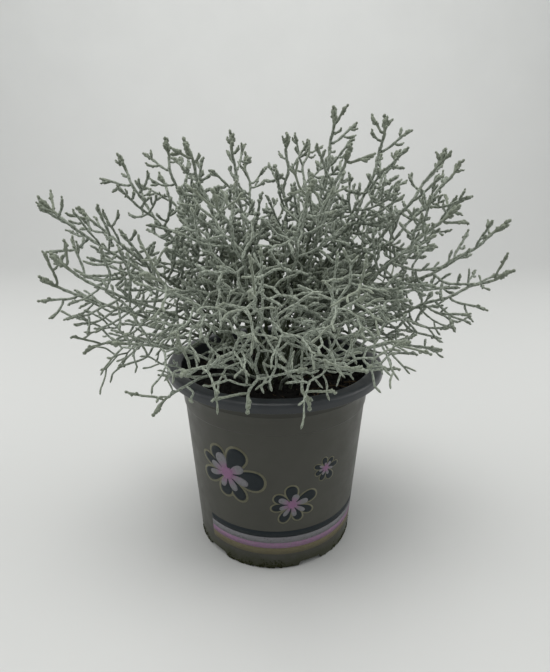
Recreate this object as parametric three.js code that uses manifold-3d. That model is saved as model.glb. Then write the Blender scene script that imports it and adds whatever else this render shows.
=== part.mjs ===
// Potted cushion bush: a wiry silver-grey bush in a printed plastic nursery pot.
// Millimetres, +Z up. The origin is on the pot's axis, on the surface that it stands on.
// The front of the pot, where its print is, faces -Y.

import * as THREE from 'three';
import { mergeVertices } from 'three/addons/utils/BufferGeometryUtils.js';
import Module from 'manifold-3d';

const wasm = await Module();
wasm.setup();

// Pot: an 11 cm round nursery pot, one thin-walled moulding
const POT_HEIGHT = 98;
const RIM_RADIUS = 55;
const RIM_DEPTH = 4.4;
const NECK_RADIUS = 48.4;
const FOOT_RADIUS = 41.4;
const WALL = 0.9;
const LEDGE_HEIGHT = 78.5;
const LEDGE_STEP = 0.5;
const POT_SIDES = 36;

// Foot of the pot: a ring of five hollow feet round a raised floor
const FEET = 5;
const FIRST_FOOT_DEG = -100;
const NOTCH_WIDTH = 12.5;
const NOTCH_HEIGHT = 2.8;
const FOOT_RING_WIDTH = 8.4;
const DRAIN_HOLES = 8;
const DRAIN_RADIUS = 2.6;
const DRAIN_CIRCLE = 26;

// Soil: a plug of peat with an uneven top, a finger's width below the rim
const SOIL_TOP = 89;
const SOIL_WAVE = 0.8;
const SEAT_GAP = 0.3;
const SOIL_SIDES = 24;

// Bush: leading stems out of a small clump, each with side shoots that end in a bud
const SEED = 20;
const ROOT_DEPTH = 14;
const CLUMP_SPACING = 5.2;
const STEM_RADIUS = 1.35;
const SHOOT_RADIUS = 0.82;
const BUD_RADIUS = 1.25;
const BUD_LENGTH = 5;
const NODE_SPACING = 11.6;
const BUSH_REACH = 98;
const BUSH_MIDDLE = 138;
const BUSH_RISE = 68;
const BUSH_DROP = 40;
const TRIES = 14;
const TWIG_SIDES = 3;
const FACET_SWELL = 1.3;

// Where each leading stem ends: how far right of the axis, how far behind it, how high,
// and how steeply it points there (1 straight up, 0 level, below 0 drooping).
const LEADERS = [
  [-105, -12, 178, 0.75],
  [-98, 14, 172, 0.7],
  [-77, 20, 197, 0.95],
  [-88, -44, 158, 0.8],
  [-101, -30, 146, 0.6],
  [-86, -30, 112, -0.5],
  [-50, -56, 94, -0.7],
  [-52, 14, 204, 1],
  [-37, -22, 201, 0.95],
  [-66, 56, 188, 0.85],
  [-20, 8, 206, 1],
  [-16, 48, 198, 0.95],
  [6, 16, 206, 1],
  [27, 8, 217, 1],
  [19, 60, 206, 0.9],
  [30, -30, 199, 0.9],
  [50, 4, 213, 1],
  [67, 46, 200, 0.85],
  [76, -4, 198, 0.9],
  [90, 14, 194, 0.85],
  [97, 26, 176, 0.7],
  [74, -34, 176, 0.7],
  [104, -14, 168, 0.75],
  [106, -20, 147, 0.5],
  [-62, -64, 128, 0.2],
  [-10, -77, 107, -0.6],
  [30, -86, 126, 0.1],
  [-32, -84, 124, 0.1],
  [13, -73, 106, -0.6],
  [50, -64, 128, 0.2],
  [-46, -70, 156, 0.5],
  [-8, -84, 152, 0.4],
  [30, -80, 150, 0.4],
  [-22, -56, 182, 0.7],
  [14, -52, 186, 0.7],
  [-80, 60, 128, 0.3],
  [-28, 88, 124, 0.2],
  [30, 89, 128, 0.2],
  [78, 62, 126, 0.3],
  [-58, 80, 160, 0.6],
  [0, 92, 162, 0.6],
  [58, 80, 160, 0.6],
];

const finishes = {
  pot: { color: 0x56554f, roughness: 0.5, metalness: 0 },
  soil: { color: 0x15120f, roughness: 1, metalness: 0 },
  stem: { color: 0x93a08f, roughness: 0.85, metalness: 0 },
};

const group = new THREE.Group();

function addPart(name, solid, finish) {
  const mesh = new THREE.Mesh(geometryOf(solid), new THREE.MeshStandardMaterial(finish));
  mesh.name = name;
  group.add(mesh);
}

function solidOf(geometry) {
  const bare = geometry.clone();
  bare.deleteAttribute('normal');
  bare.deleteAttribute('uv');
  const merged = mergeVertices(bare, 1e-4);
  return new wasm.Manifold(new wasm.Mesh({
    numProp: 3,
    vertProperties: new Float32Array(merged.attributes.position.array),
    triVerts: new Uint32Array(merged.index.array),
  }));
}

function geometryOf(solid) {
  const { numProp, vertProperties, triVerts } = solid.getMesh();
  const positions = [];
  for (let i = 0; i < vertProperties.length; i += numProp) {
    positions.push(vertProperties[i], vertProperties[i + 1], vertProperties[i + 2]);
  }
  const geometry = new THREE.BufferGeometry();
  geometry.setAttribute('position', new THREE.Float32BufferAttribute(positions, 3));
  geometry.setIndex(Array.from(triVerts));
  return geometry;
}

// A solid of revolution about Z from [radius, height] points
function turned(points, sides) {
  const profile = points.map(([radius, height]) => new THREE.Vector2(radius, height));
  const geometry = new THREE.LatheGeometry(profile, sides);
  geometry.rotateX(Math.PI / 2);
  return solidOf(geometry);
}

// Repeatable random numbers from 0 to 1
function randomStream(seed) {
  let state = seed >>> 0;
  return () => {
    state = (state + 0x6d2b79f5) >>> 0;
    let mixed = Math.imul(state ^ (state >>> 15), state | 1);
    mixed ^= mixed + Math.imul(mixed ^ (mixed >>> 7), mixed | 61);
    return ((mixed ^ (mixed >>> 14)) >>> 0) / 4294967296;
  };
}

// Outer radius of the pot's wall at a height
function wallRadius(height) {
  const slope = (NECK_RADIUS - LEDGE_STEP - FOOT_RADIUS) / (POT_HEIGHT - RIM_DEPTH);
  return FOOT_RADIUS + slope * height + (height > LEDGE_HEIGHT ? LEDGE_STEP : 0);
}

// The same solid at equal steps round the pot's axis
function roundTheAxis(geometry, count, firstDeg) {
  return Array.from({ length: count }, (_, i) => {
    const turn = THREE.MathUtils.degToRad(firstDeg + (i * 360) / count);
    return solidOf(geometry.clone().rotateZ(turn));
  });
}

function makePot() {
  const underRim = POT_HEIGHT - WALL - 0.6;
  const ledgeTop = LEDGE_HEIGHT + 0.6;
  const footInside = FOOT_RADIUS - FOOT_RING_WIDTH;
  const outside = (height) => [wallRadius(height), height];
  const inside = (height) => [wallRadius(height) - WALL, height];
  const shell = turned([
    [0, NOTCH_HEIGHT],
    [footInside, NOTCH_HEIGHT],
    [footInside + 0.5, 0],
    [FOOT_RADIUS - 0.5, 0],
    outside(0.6),
    outside(LEDGE_HEIGHT),
    outside(ledgeTop),
    outside(underRim - 0.5),
    [wallRadius(underRim) + 0.6, underRim],
    [RIM_RADIUS - WALL - 0.5, underRim],
    [RIM_RADIUS - WALL, underRim - 0.6],
    [RIM_RADIUS - WALL, POT_HEIGHT - RIM_DEPTH],
    [RIM_RADIUS, POT_HEIGHT - RIM_DEPTH],
    [RIM_RADIUS, POT_HEIGHT - 1.6],
    [RIM_RADIUS - 0.6, POT_HEIGHT - 0.5],
    [RIM_RADIUS - 1.8, POT_HEIGHT],
    [wallRadius(POT_HEIGHT) + 0.4, POT_HEIGHT],
    inside(POT_HEIGHT - 1),
    inside(ledgeTop),
    inside(LEDGE_HEIGHT),
    inside(WALL),
    [footInside + WALL, WALL],
    [footInside, NOTCH_HEIGHT + WALL],
    [0, NOTCH_HEIGHT + WALL],
  ], POT_SIDES);

  const foot = turned([
    [0, 0],
    [FOOT_RADIUS - 0.5, 0],
    outside(0.6),
    outside(NOTCH_HEIGHT + WALL),
    [0, NOTCH_HEIGHT + WALL],
  ], POT_SIDES);
  const notchMiddle = FOOT_RADIUS - FOOT_RING_WIDTH / 2;
  const notchDeg = FIRST_FOOT_DEG + 180 / FEET;
  const roofHeight = NOTCH_HEIGHT + WALL;
  const channel = new THREE.BoxGeometry(FOOT_RING_WIDTH + 1, NOTCH_WIDTH + 2 * WALL, roofHeight);
  channel.translate(notchMiddle, 0, roofHeight / 2);
  const notch = new THREE.BoxGeometry(FOOT_RING_WIDTH + 6, NOTCH_WIDTH, 2 * NOTCH_HEIGHT);
  notch.translate(notchMiddle + 1, 0, 0);
  let pot = shell;
  for (const roof of roundTheAxis(channel, FEET, notchDeg)) pot = pot.add(roof.intersect(foot));
  for (const gap of roundTheAxis(notch, FEET, notchDeg)) pot = pot.subtract(gap);

  const drain = new THREE.CylinderGeometry(DRAIN_RADIUS, DRAIN_RADIUS, 4 * WALL, 6).rotateX(Math.PI / 2);
  drain.translate(DRAIN_CIRCLE, 0, NOTCH_HEIGHT + WALL / 2);
  for (const hole of roundTheAxis(drain, DRAIN_HOLES, notchDeg)) pot = pot.subtract(hole);
  return pot;
}

// Humps and hollows of the soil's surface
function soilWave(x, y) {
  return SOIL_WAVE * (Math.sin(x / 7 + 1) * Math.cos(y / 9) + 0.5 * Math.sin((x + y) / 4));
}

function makeSoil(stems) {
  const bottom = NOTCH_HEIGHT + WALL + SEAT_GAP;
  const edge = (height) => new THREE.Vector2(wallRadius(height) - WALL - SEAT_GAP, height);
  const rings = [0.75, 0.5, 0.25, 0].map((share) => new THREE.Vector2(share * edge(SOIL_TOP).x, SOIL_TOP));
  const walls = [bottom, LEDGE_HEIGHT, LEDGE_HEIGHT + 0.6, SOIL_TOP - 1].map(edge);
  const geometry = new THREE.LatheGeometry([new THREE.Vector2(0, bottom), ...walls, ...rings], SOIL_SIDES);
  geometry.rotateX(Math.PI / 2);
  const place = geometry.attributes.position;
  for (let i = 0; i < place.count; i += 1) {
    if (place.getZ(i) > SOIL_TOP - 0.5) place.setZ(i, SOIL_TOP + soilWave(place.getX(i), place.getY(i)));
  }
  return stems.reduce((soil, stem) => soil.subtract(stemHole(stem)), solidOf(geometry));
}

// A tube of changing thickness along a row of points: a turned spindle, bent along them.
// The thickness at the first and last point is 0, so both ends close.
function bentSpindle(points, radii) {
  const profile = radii.map((radius, i) => new THREE.Vector2(radius, i));
  const geometry = new THREE.LatheGeometry(profile, TWIG_SIDES);
  const place = geometry.attributes.position;
  const across = new THREE.Vector3(1, 0, 0);
  const frames = points.map((point, i) => {
    const before = points[Math.max(i - 1, 0)];
    const after = points[Math.min(i + 1, points.length - 1)];
    const along = after.clone().sub(before).normalize();
    if (Math.abs(across.dot(along)) > 0.97) across.set(0, 1, 0);
    across.addScaledVector(along, -across.dot(along)).normalize();
    return { across: across.clone(), second: across.clone().cross(along) };
  });
  for (let i = 0; i < place.count; i += 1) {
    const step = i % points.length;
    const { across: first, second } = frames[step];
    const moved = points[step].clone()
      .addScaledVector(first, place.getX(i))
      .addScaledVector(second, place.getZ(i));
    place.setXYZ(i, moved.x, moved.y, moved.z);
  }
  return solidOf(geometry);
}

// The triangular well that a stem stands in, a little wider than the stem
function stemHole(stem) {
  const [x, y] = stem.root;
  const sink = SOIL_TOP - ROOT_DEPTH - SEAT_GAP;
  const width = FACET_SWELL * STEM_RADIUS + SEAT_GAP / Math.cos(Math.PI / TWIG_SIDES);
  const ends = [sink, sink, SOIL_TOP + 4, SOIL_TOP + 4].map((height) => new THREE.Vector3(x, y, height));
  return bentSpindle(ends, [0, width, width, 0]);
}

// Distance from a point to the stretch between two points
function distanceToStretch(point, from, to) {
  const ax = to.x - from.x;
  const ay = to.y - from.y;
  const az = to.z - from.z;
  const px = point.x - from.x;
  const py = point.y - from.y;
  const pz = point.z - from.z;
  const share = Math.min(1, Math.max(0, (px * ax + py * ay + pz * az) / (ax * ax + ay * ay + az * az)));
  const dx = px - share * ax;
  const dy = py - share * ay;
  const dz = pz - share * az;
  return Math.sqrt(dx * dx + dy * dy + dz * dz);
}

// Where the leading stems leave the soil: pushed apart until they stand evenly
function clumpRoots() {
  const roots = LEADERS.map(([right, back, , steepness]) => {
    const reach = Math.hypot(right, back);
    const spread = 3 + 14 * (1 - Math.max(steepness, 0)) + reach * 0.06;
    return [(spread * right) / reach, (spread * back) / reach];
  });
  for (let round = 0; round < 80; round += 1) {
    for (let i = 0; i < roots.length; i += 1) {
      for (let j = i + 1; j < roots.length; j += 1) {
        const dx = roots[j][0] - roots[i][0];
        const dy = roots[j][1] - roots[i][1];
        const apart = Math.sqrt(dx * dx + dy * dy);
        const push = apart < CLUMP_SPACING ? (0.5 * (CLUMP_SPACING - apart)) / apart : 0;
        roots[i][0] -= push * dx;
        roots[i][1] -= push * dy;
        roots[j][0] += push * dx;
        roots[j][1] += push * dy;
      }
    }
  }
  return roots;
}

// The stretches of stem that stand already, which later ones keep clear of
const grown = [];

function remember(points, radii, stem) {
  for (let i = 1; i < points.length; i += 1) {
    if (points[i] === points[i - 1]) continue;
    grown.push({ from: points[i - 1], to: points[i], radius: Math.max(radii[i - 1], radii[i]), stem });
  }
}

// Inside the pot above the soil, or outside of the pot's rim
function clearOfPot(point) {
  const out = Math.hypot(point.x, point.y);
  if (point.z > POT_HEIGHT + 2.4) return true;
  return out > RIM_RADIUS + 2.4 || (out < NECK_RADIUS - 4 && point.z > SOIL_TOP + 3);
}

// How far out a point lies: 1 on the surface of the bush's cushion
function cushionDepth(point) {
  const rise = point.z - BUSH_MIDDLE;
  const out = Math.hypot(point.x, point.y) / BUSH_REACH;
  return Math.hypot(out, rise / (rise > 0 ? BUSH_RISE : BUSH_DROP));
}

// Room round a row of points: the least gap to the other stems' wood, and how far the
// points lie from all wood. Points within a short step of the start are left out.
function roomRound(points, radii, stem) {
  let gap = Infinity;
  let room = Infinity;
  for (let i = 2; i < points.length; i += 1) {
    const steps = Math.ceil(points[i].distanceTo(points[i - 1]) / 1.5);
    for (let k = 1; k <= steps; k += 1) {
      const point = points[i - 1].clone().lerp(points[i], k / steps);
      const radius = Math.max(radii[i - 1], radii[i]);
      for (const stretch of grown) {
        const apart = distanceToStretch(point, stretch.from, stretch.to);
        if (stretch.stem !== stem) gap = Math.min(gap, apart - FACET_SWELL * (radius + stretch.radius));
        if (i > 2 || k === steps) room = Math.min(room, apart);
      }
      if (gap < SEAT_GAP || !clearOfPot(point)) return { gap: -1, room: 0 };
    }
  }
  return { gap, room };
}

// A leading stem: straight up out of the soil, then over in one arc to its tip, with a
// slight turn at each node that it branches from. It bows aside where another stands.
function growLeader(index, root) {
  const [right, back, height, steepness] = LEADERS[index];
  const random = randomStream(SEED * 1000 + index);
  const tip = new THREE.Vector3(right, back, height);
  const reach = Math.hypot(right, back);
  const level = Math.sqrt(1 - steepness * steepness);
  const heading = new THREE.Vector3((level * right) / reach, (level * back) / reach, steepness);
  const foot = new THREE.Vector3(root[0], root[1], SOIL_TOP - ROOT_DEPTH);
  const collar = new THREE.Vector3(root[0], root[1], SOIL_TOP + 3);
  const span = collar.distanceTo(tip);
  const side = new THREE.Vector3(-back, right, 0.3 * reach).normalize();
  for (let bow = 0; bow < 60; bow += 1) {
    const firstPull = collar.clone().lerp(new THREE.Vector3(right, back, collar.z), 0.22);
    firstPull.z += Math.max(12, 0.3 * span * (0.4 + steepness));
    firstPull.addScaledVector(side, bow * 0.6 * (random() - 0.5));
    const lastPull = tip.clone().addScaledVector(heading, -0.33 * span);
    lastPull.addScaledVector(side, bow * 1.2 * (random() - 0.5));
    const arc = new THREE.CubicBezierCurve3(collar, firstPull, lastPull, tip);
    const steps = Math.round(arc.getLength() / NODE_SPACING);
    const points = [foot, foot, collar];
    for (let i = 1; i < steps; i += 1) {
      const zigzag = (i % 2 ? 1 : -1) * (0.7 + 0.9 * random());
      const share = 1 - (1 - i / steps) ** 1.2;
      points.push(arc.getPoint(share).addScaledVector(side, zigzag));
    }
    points.push(tip.clone().addScaledVector(heading, -0.5 * BUD_LENGTH), tip);
    const nodes = points.length - 2;
    const radii = points.map((_, i) => {
      const share = Math.max(0, i - 2) / (nodes - 2);
      return STEM_RADIUS + (SHOOT_RADIUS - STEM_RADIUS) * share ** 0.6;
    });
    radii[0] = 0;
    radii[points.length - 2] = BUD_RADIUS;
    radii[points.length - 1] = 0;
    const { gap } = roomRound(points.slice(1), radii.slice(1), index);
    if (gap > SEAT_GAP) return { index, root, points, radii, random, nodes, shoots: [] };
  }
  throw new Error(`stem ${index} finds no way to its tip`);
}

// A side shoot from a node of a stem: it leaves at a wide angle, bends up and outwards,
// ends in a bud, and goes where there is most room for it
function growShoot(stem, node) {
  const { points, random, index } = stem;
  const start = points[node];
  const share = (node - 2) / (stem.nodes - 2);
  const along = points[node + 1].clone().sub(points[node - 1]).normalize();
  const outward = new THREE.Vector3(start.x, start.y, 0).normalize();
  const level = new THREE.Vector3(outward.y, -outward.x, 0.1);
  const across = new THREE.Vector3().crossVectors(along, level).normalize();
  const second = new THREE.Vector3().crossVectors(along, across);
  const pull = along.clone().multiplyScalar(0.8).addScaledVector(outward, 0.25);
  pull.z += 0.35;
  const furthest = Math.max(1, cushionDepth(points[points.length - 1]));
  let best = null;
  for (let attempt = 0; attempt < TRIES; attempt += 1) {
    const roll = 2 * Math.PI * random();
    const opening = 0.95 + 0.45 * random();
    const length = (7 + 32 * (1 - share) ** 0.8) * (0.75 + 0.5 * random());
    const stalk = length - BUD_LENGTH;
    const away = along.clone().multiplyScalar(Math.cos(opening))
      .addScaledVector(across, Math.sin(opening) * Math.cos(roll))
      .addScaledVector(second, Math.sin(opening) * Math.sin(roll));
    const bent = away.clone().addScaledVector(pull, 0.5).normalize();
    const row = [start, start.clone().addScaledVector(away, 1.3)];
    const radii = [0, SHOOT_RADIUS];
    if (stalk > 12) {
      row.push(start.clone().addScaledVector(away, 0.5 * stalk));
      radii.push(SHOOT_RADIUS);
    }
    const neck = row[row.length - 1].clone().addScaledVector(bent, stalk > 12 ? 0.5 * stalk : stalk);
    for (const share of [0, 0.5, 1]) row.push(neck.clone().addScaledVector(bent, share * BUD_LENGTH));
    radii.push(0.9 * SHOOT_RADIUS, BUD_RADIUS, 0);
    const depth = cushionDepth(row[row.length - 1]);
    if (depth > furthest) continue;
    const { gap, room } = roomRound(row, radii, index);
    const worth = Math.min(room, 9) + 3 * depth;
    if (gap > SEAT_GAP && (!best || worth > best.worth)) best = { row, radii, worth };
  }
  if (!best) return;
  stem.shoots.push(best);
  remember(best.row, best.radii, index);
}

const roots = clumpRoots();
const stems = roots.map((root, index) => {
  const stem = growLeader(index, root);
  remember(stem.points, stem.radii, index);
  return stem;
});
const mostNodes = Math.max(...stems.map((stem) => stem.nodes));
for (let fromTip = 1; fromTip < mostNodes; fromTip += 1) {
  for (const stem of stems) {
    const node = stem.nodes - fromTip;
    if (node > 3) growShoot(stem, node);
  }
}

addPart('pot', makePot(), finishes.pot);
addPart('soil', makeSoil(stems), finishes.soil);
for (const stem of stems) {
  let solid = bentSpindle(stem.points, stem.radii.map((radius) => FACET_SWELL * radius));
  for (const { row, radii } of stem.shoots) {
    solid = solid.add(bentSpindle(row, radii.map((radius) => FACET_SWELL * radius)));
  }
  addPart(`stem_${String(stem.index + 1).padStart(2, '0')}`, solid, finishes.stem);
}

export default group;
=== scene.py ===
"""Potted cushion bush: a wiry silver-grey bush in a printed plastic nursery pot.

The pot stands on z = 0 with its axis on z, and its printed front faces -Y.
Lengths in the making of each piece are in millimetres and become metres in its mesh.
"""

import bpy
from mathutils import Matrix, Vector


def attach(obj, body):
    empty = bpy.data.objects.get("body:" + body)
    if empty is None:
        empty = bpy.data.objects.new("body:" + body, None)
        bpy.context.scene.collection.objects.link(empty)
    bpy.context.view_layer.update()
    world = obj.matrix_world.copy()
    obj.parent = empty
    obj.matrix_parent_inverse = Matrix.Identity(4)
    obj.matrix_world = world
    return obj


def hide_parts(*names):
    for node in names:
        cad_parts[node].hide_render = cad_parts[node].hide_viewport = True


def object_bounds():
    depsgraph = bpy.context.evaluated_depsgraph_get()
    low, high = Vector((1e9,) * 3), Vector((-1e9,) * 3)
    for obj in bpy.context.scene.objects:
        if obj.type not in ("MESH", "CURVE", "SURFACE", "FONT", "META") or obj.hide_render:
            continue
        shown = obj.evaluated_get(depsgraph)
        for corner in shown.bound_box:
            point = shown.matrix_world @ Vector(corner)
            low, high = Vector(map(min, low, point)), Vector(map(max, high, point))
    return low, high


bl_info = {
    "name": "Potted cushion bush",
    "version": (1, 0, 0),
    "blender": (4, 5, 0),
    "location": "3D View > Sidebar > Cushion bush",
    "description": "Makes a wiry silver-grey bush in a printed plastic nursery pot",
    "category": "Object",
}

import math

import bmesh
import bpy
import numpy as np
from bpy.props import FloatProperty, FloatVectorProperty, PointerProperty
from bpy.types import Operator, Panel, PropertyGroup
from mathutils import Matrix, Vector, noise

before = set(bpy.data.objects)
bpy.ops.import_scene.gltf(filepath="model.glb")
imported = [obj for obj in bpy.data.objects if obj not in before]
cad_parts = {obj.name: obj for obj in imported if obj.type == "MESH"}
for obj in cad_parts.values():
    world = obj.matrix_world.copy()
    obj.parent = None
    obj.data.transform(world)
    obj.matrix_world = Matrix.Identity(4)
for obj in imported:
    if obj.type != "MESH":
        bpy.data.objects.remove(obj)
cad_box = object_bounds()

MM = 0.001
BODY = "root"

# Pot
POT_HEIGHT = 98.0
RIM_RADIUS = 55.0
RIM_DEPTH = 4.4
NECK_RADIUS = 48.4
FOOT_RADIUS = 41.4
WALL = 0.9
LEDGE_HEIGHT = 78.5
LEDGE_STEP = 0.5
BEAD_HEIGHT = 88.0
CORNER_ROUNDING = 0.7
SHARP_DEG = 38
POT_SIDES = 192
OUTSIDE, PLAIN = 0, 1

# Foot of the pot: a ring of five hollow feet round a raised floor
FEET = 5
FIRST_FOOT_DEG = -100
NOTCH_DEGS = [FIRST_FOOT_DEG + 360 * (i + 0.5) / FEET for i in range(FEET)]
NOTCH_WIDTH = 12.5
NOTCH_HEIGHT = 2.8
NOTCH_ROUNDING = 1.4
SLIT_WIDTH = 2.2
SLIT_HEIGHT = 2.1
SLIT_ROUNDING = 0.5
CUT_PAST = 4.0
FOOT_RING_WIDTH = 8.4
DRAIN_HOLES = 8
DRAIN_RADIUS = 2.6
DRAIN_CIRCLE = 26
DIRT_TRIES = 3200

# Soil
SOIL_TOP = 89.0
SOIL_WAVE = 0.8
SEAT_GAP = 0.3
SOIL_RINGS = 64
SOIL_SIDES = 168
CRUMBS = 620
CRUMB_SIZES = [0.45, 0.6, 0.8, 1.2, 1.7]
CRUMB_SHARES = [0.3, 0.3, 0.22, 0.13, 0.05]
FIBRES = 70
FIBRE_PART = 1

# Twiglets that have fallen on the soil: right of the axis, behind it, and how long
FALLEN = [(22, -26, 9), (27, -30, 8), (31, -20, 12), (34, -27, 7), (25, -34, 9),
          (38, -14, 8), (18, -33, 7), (-31, -18, 9), (-14, 36, 10), (35, 12, 8)]

# Bush: leading stems out of a small clump, each with side shoots that end in a bud
SEED = 20
ROOT_DEPTH = 14
COLLAR_RISE = 3
CLUMP_SPACING = 5.2
PUSH_ROUNDS = 80
BOW_TRIES = 60
STEM_RADIUS = 1.35
SHOOT_RADIUS = 0.82
BUD_RADIUS = 1.25
BUD_LENGTH = 5
BENT_STALK = 12
SHORTEST_SHOOT = 7
LONGER_BELOW = 32
LEAST_OPENING = 0.95
OPENING_RANGE = 0.45
NODE_SPACING = 11.6
BUSH_REACH = 98
BUSH_MIDDLE = 138
BUSH_RISE = 68
BUSH_DROP = 40
TRIES = 14
FACET_SWELL = 1.3
ROOM_STEP = 1.5
ROOM_REACH = 14
POT_CLEARANCE = 2.4

# Where each leading stem ends: how far right of the axis, how far behind it, how high,
# and how steeply it points there (1 straight up, 0 level, below 0 drooping)
LEADERS = [
    (-105, -12, 178, 0.75), (-98, 14, 172, 0.7), (-77, 20, 197, 0.95), (-88, -44, 158, 0.8),
    (-101, -30, 146, 0.6), (-86, -30, 112, -0.5), (-50, -56, 94, -0.7), (-52, 14, 204, 1),
    (-37, -22, 201, 0.95), (-66, 56, 188, 0.85), (-20, 8, 206, 1), (-16, 48, 198, 0.95),
    (6, 16, 206, 1), (27, 8, 217, 1), (19, 60, 206, 0.9), (30, -30, 199, 0.9),
    (50, 4, 213, 1), (67, 46, 200, 0.85), (76, -4, 198, 0.9), (90, 14, 194, 0.85),
    (97, 26, 176, 0.7), (74, -34, 176, 0.7), (104, -14, 168, 0.75), (106, -20, 147, 0.5),
    (-62, -64, 128, 0.2), (-10, -77, 107, -0.6), (30, -86, 126, 0.1), (-32, -84, 124, 0.1),
    (13, -73, 106, -0.6), (50, -64, 128, 0.2), (-46, -70, 156, 0.5), (-8, -84, 152, 0.4),
    (30, -80, 150, 0.4), (-22, -56, 182, 0.7), (14, -52, 186, 0.7), (-80, 60, 128, 0.3),
    (-28, 88, 124, 0.2), (30, 89, 128, 0.2), (78, 62, 126, 0.3), (-58, 80, 160, 0.6),
    (0, 92, 162, 0.6), (58, 80, 160, 0.6),
]

# Fine growth. Its tips stay inside the CAD's box by a small margin. Twigs that end less far
# out than OUTER_GROWTH stand closer, most of all those right of DENSE_SIDE. Drooping stems
# that end higher than LOW_TIP are less open and have longer twigs than the lower ones.
TWIG_SIDES = 5
LEAF_COLUMNS = 5
RING_SPACING = 1.0
ZIGZAG_STEP = 7.0
GOLDEN_TURN = 2.4
LEADER_THICK = 0.95
LEADER_THIN = 0.72
LEADER_BUD = 1.25
SHOOT_THICK = 0.62
SHOOT_BUD = 0.93
OUTER_GROWTH = 0.88
DENSE_SIDE = 12
LOW_TIP = 140
TAKEN_REACH = 1.8
POOR_PLACE = -6
POOR_MISSING = 0.85
BOX_MARGIN = 0.5
BOX_LOW = np.array(cad_box[0]) / MM + BOX_MARGIN
BOX_HIGH = np.array(cad_box[1]) / MM - BOX_MARGIN

# Where fewer twigs end: lower than a height and closer to the axis than a distance
NEAR_SOIL = (118, 68)
OVER_RIM = (POT_HEIGHT + 8, RIM_RADIUS + 22)

# The two orders of side twigs: the distances between them (the first one's from the tip, the
# next one's and the widest), how much wider apart they stand where the bush is open, how
# thick they and their buds are, and what share of them is missing close to the soil
SECOND = {"spacing": (5.4, 4.3, 5.6), "spread": 1.6, "thick": 0.58, "bud": 0.81, "missing": 0.5}
THIRD = {"spacing": (4.8, 3.9, 4.8), "spread": 1.1, "thick": 0.52, "bud": 0.69, "missing": 0.75}

# Print on the pot: the inks of the flowers, and the edges of the stripes from the top down.
# The stripes run round the pot from the left of its front to a plain strip.
GOLD, NAVY, PETAL = 0, 1, 2
INK_SINK = 0.12
BACK_TURN_DEG = 172
STRIPE_EDGES = [24.0, 20.3, 16.7, 13.4, 9.4]
STRIPE_START_DEG = -48.7
STRIPE_SWEEP_DEG = 318

# Petals of the flowers, each by how far right and up of the flower's middle it ends and how
# wide it is: the dark outer ones, then the small inner ones round the pink heart
FLOWERS = [
    {"azimuth": -30.1, "height": 54.6, "edge": 1.25, "heart": 4.2,
     "outer": [(8.0, 14.2, 9.8), (18.6, -2.4, 10.4), (8.2, -13.6, 6.4), (-1.5, -12.9, 6.6),
               (-14.2, -6.0, 7.2), (-13.9, 6.3, 4.8), (-6.7, 13.0, 7.6)],
     "inner": [(8.8, 4.8, 4.8), (10.9, -4.2, 4.4), (4.4, -9.2, 3.8), (-3.0, -8.4, 3.2),
               (-10.6, -3.0, 3.2), (-9.0, 3.3, 3.8), (-4.1, 10.2, 6.2)]},
    {"azimuth": 10.6, "height": 39.9, "edge": 0.85, "heart": 2.9,
     "outer": [(-0.5, 10.7, 5.8), (11.6, 5.2, 6.2), (9.9, -5.2, 4.2), (3.8, -9.4, 4.4),
               (-5.0, -10.0, 4.6), (-9.8, -2.0, 4.0), (-8.4, 5.0, 5.0)],
     "inner": [(2.4, 5.7, 3.5), (7.8, 1.6, 3.2), (6.3, -4.5, 2.4), (1.4, -7.1, 2.5),
               (-4.0, -6.5, 2.1), (-6.0, -2.2, 2.4), (-6.4, 3.5, 3.3)]},
    {"azimuth": 31.9, "height": 57.0, "edge": 0.5, "heart": 1.8,
     "outer": [(-1.3, 5.9, 2.9), (3.8, 4.6, 2.7), (7.0, 0.8, 2.9), (3.6, -6.8, 4.0),
               (-2.3, -6.4, 2.9), (-5.5, -2.4, 2.8), (-6.4, 2.4, 2.5)],
     "inner": [(2.5, 2.8, 1.8), (4.1, -1.2, 1.4), (1.5, -4.0, 1.6), (-1.8, -3.4, 1.6),
               (-3.8, -0.7, 1.4), (-3.7, 2.0, 1.2), (-0.4, 3.0, 1.3)]},
]

# Soft lights in metres and watts: where each stands, how wide it is and how strong
LIGHTS = {
    "left": ((-0.85, 0.0, 0.6), 0.8, 3.0),
    "right": ((0.9, 0.05, 0.6), 0.8, 3.1),
    "top": ((-0.12, -0.1, 1.8), 1.1, 19.2),
}


# Growing the bush


def random_stream(seed):
    """Repeatable random numbers from 0 to 1."""
    mask = 0xFFFFFFFF
    state = seed & mask

    def draw():
        nonlocal state
        state = (state + 0x6D2B79F5) & mask
        mixed = ((state ^ (state >> 15)) * (state | 1)) & mask
        mixed ^= (mixed + (((mixed ^ (mixed >> 7)) * (mixed | 61)) & mask)) & mask
        return (mixed ^ (mixed >> 14)) / 4294967296

    return draw


def length_of(vector):
    return math.sqrt(vector[0] * vector[0] + vector[1] * vector[1] + vector[2] * vector[2])


def unit(vector):
    return vector * (1 / (length_of(vector) or 1))


def point(x, y, z):
    return np.array([x, y, z], dtype=float)


def off_axis(spot):
    """How far a point lies from the pot's axis."""
    return math.hypot(spot[0], spot[1])


def fade(value, none, full):
    """0 where a value is at none, 1 where it is at full, and in proportion between them."""
    return min(1, max(0, (value - none) / (full - none)))


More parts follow.
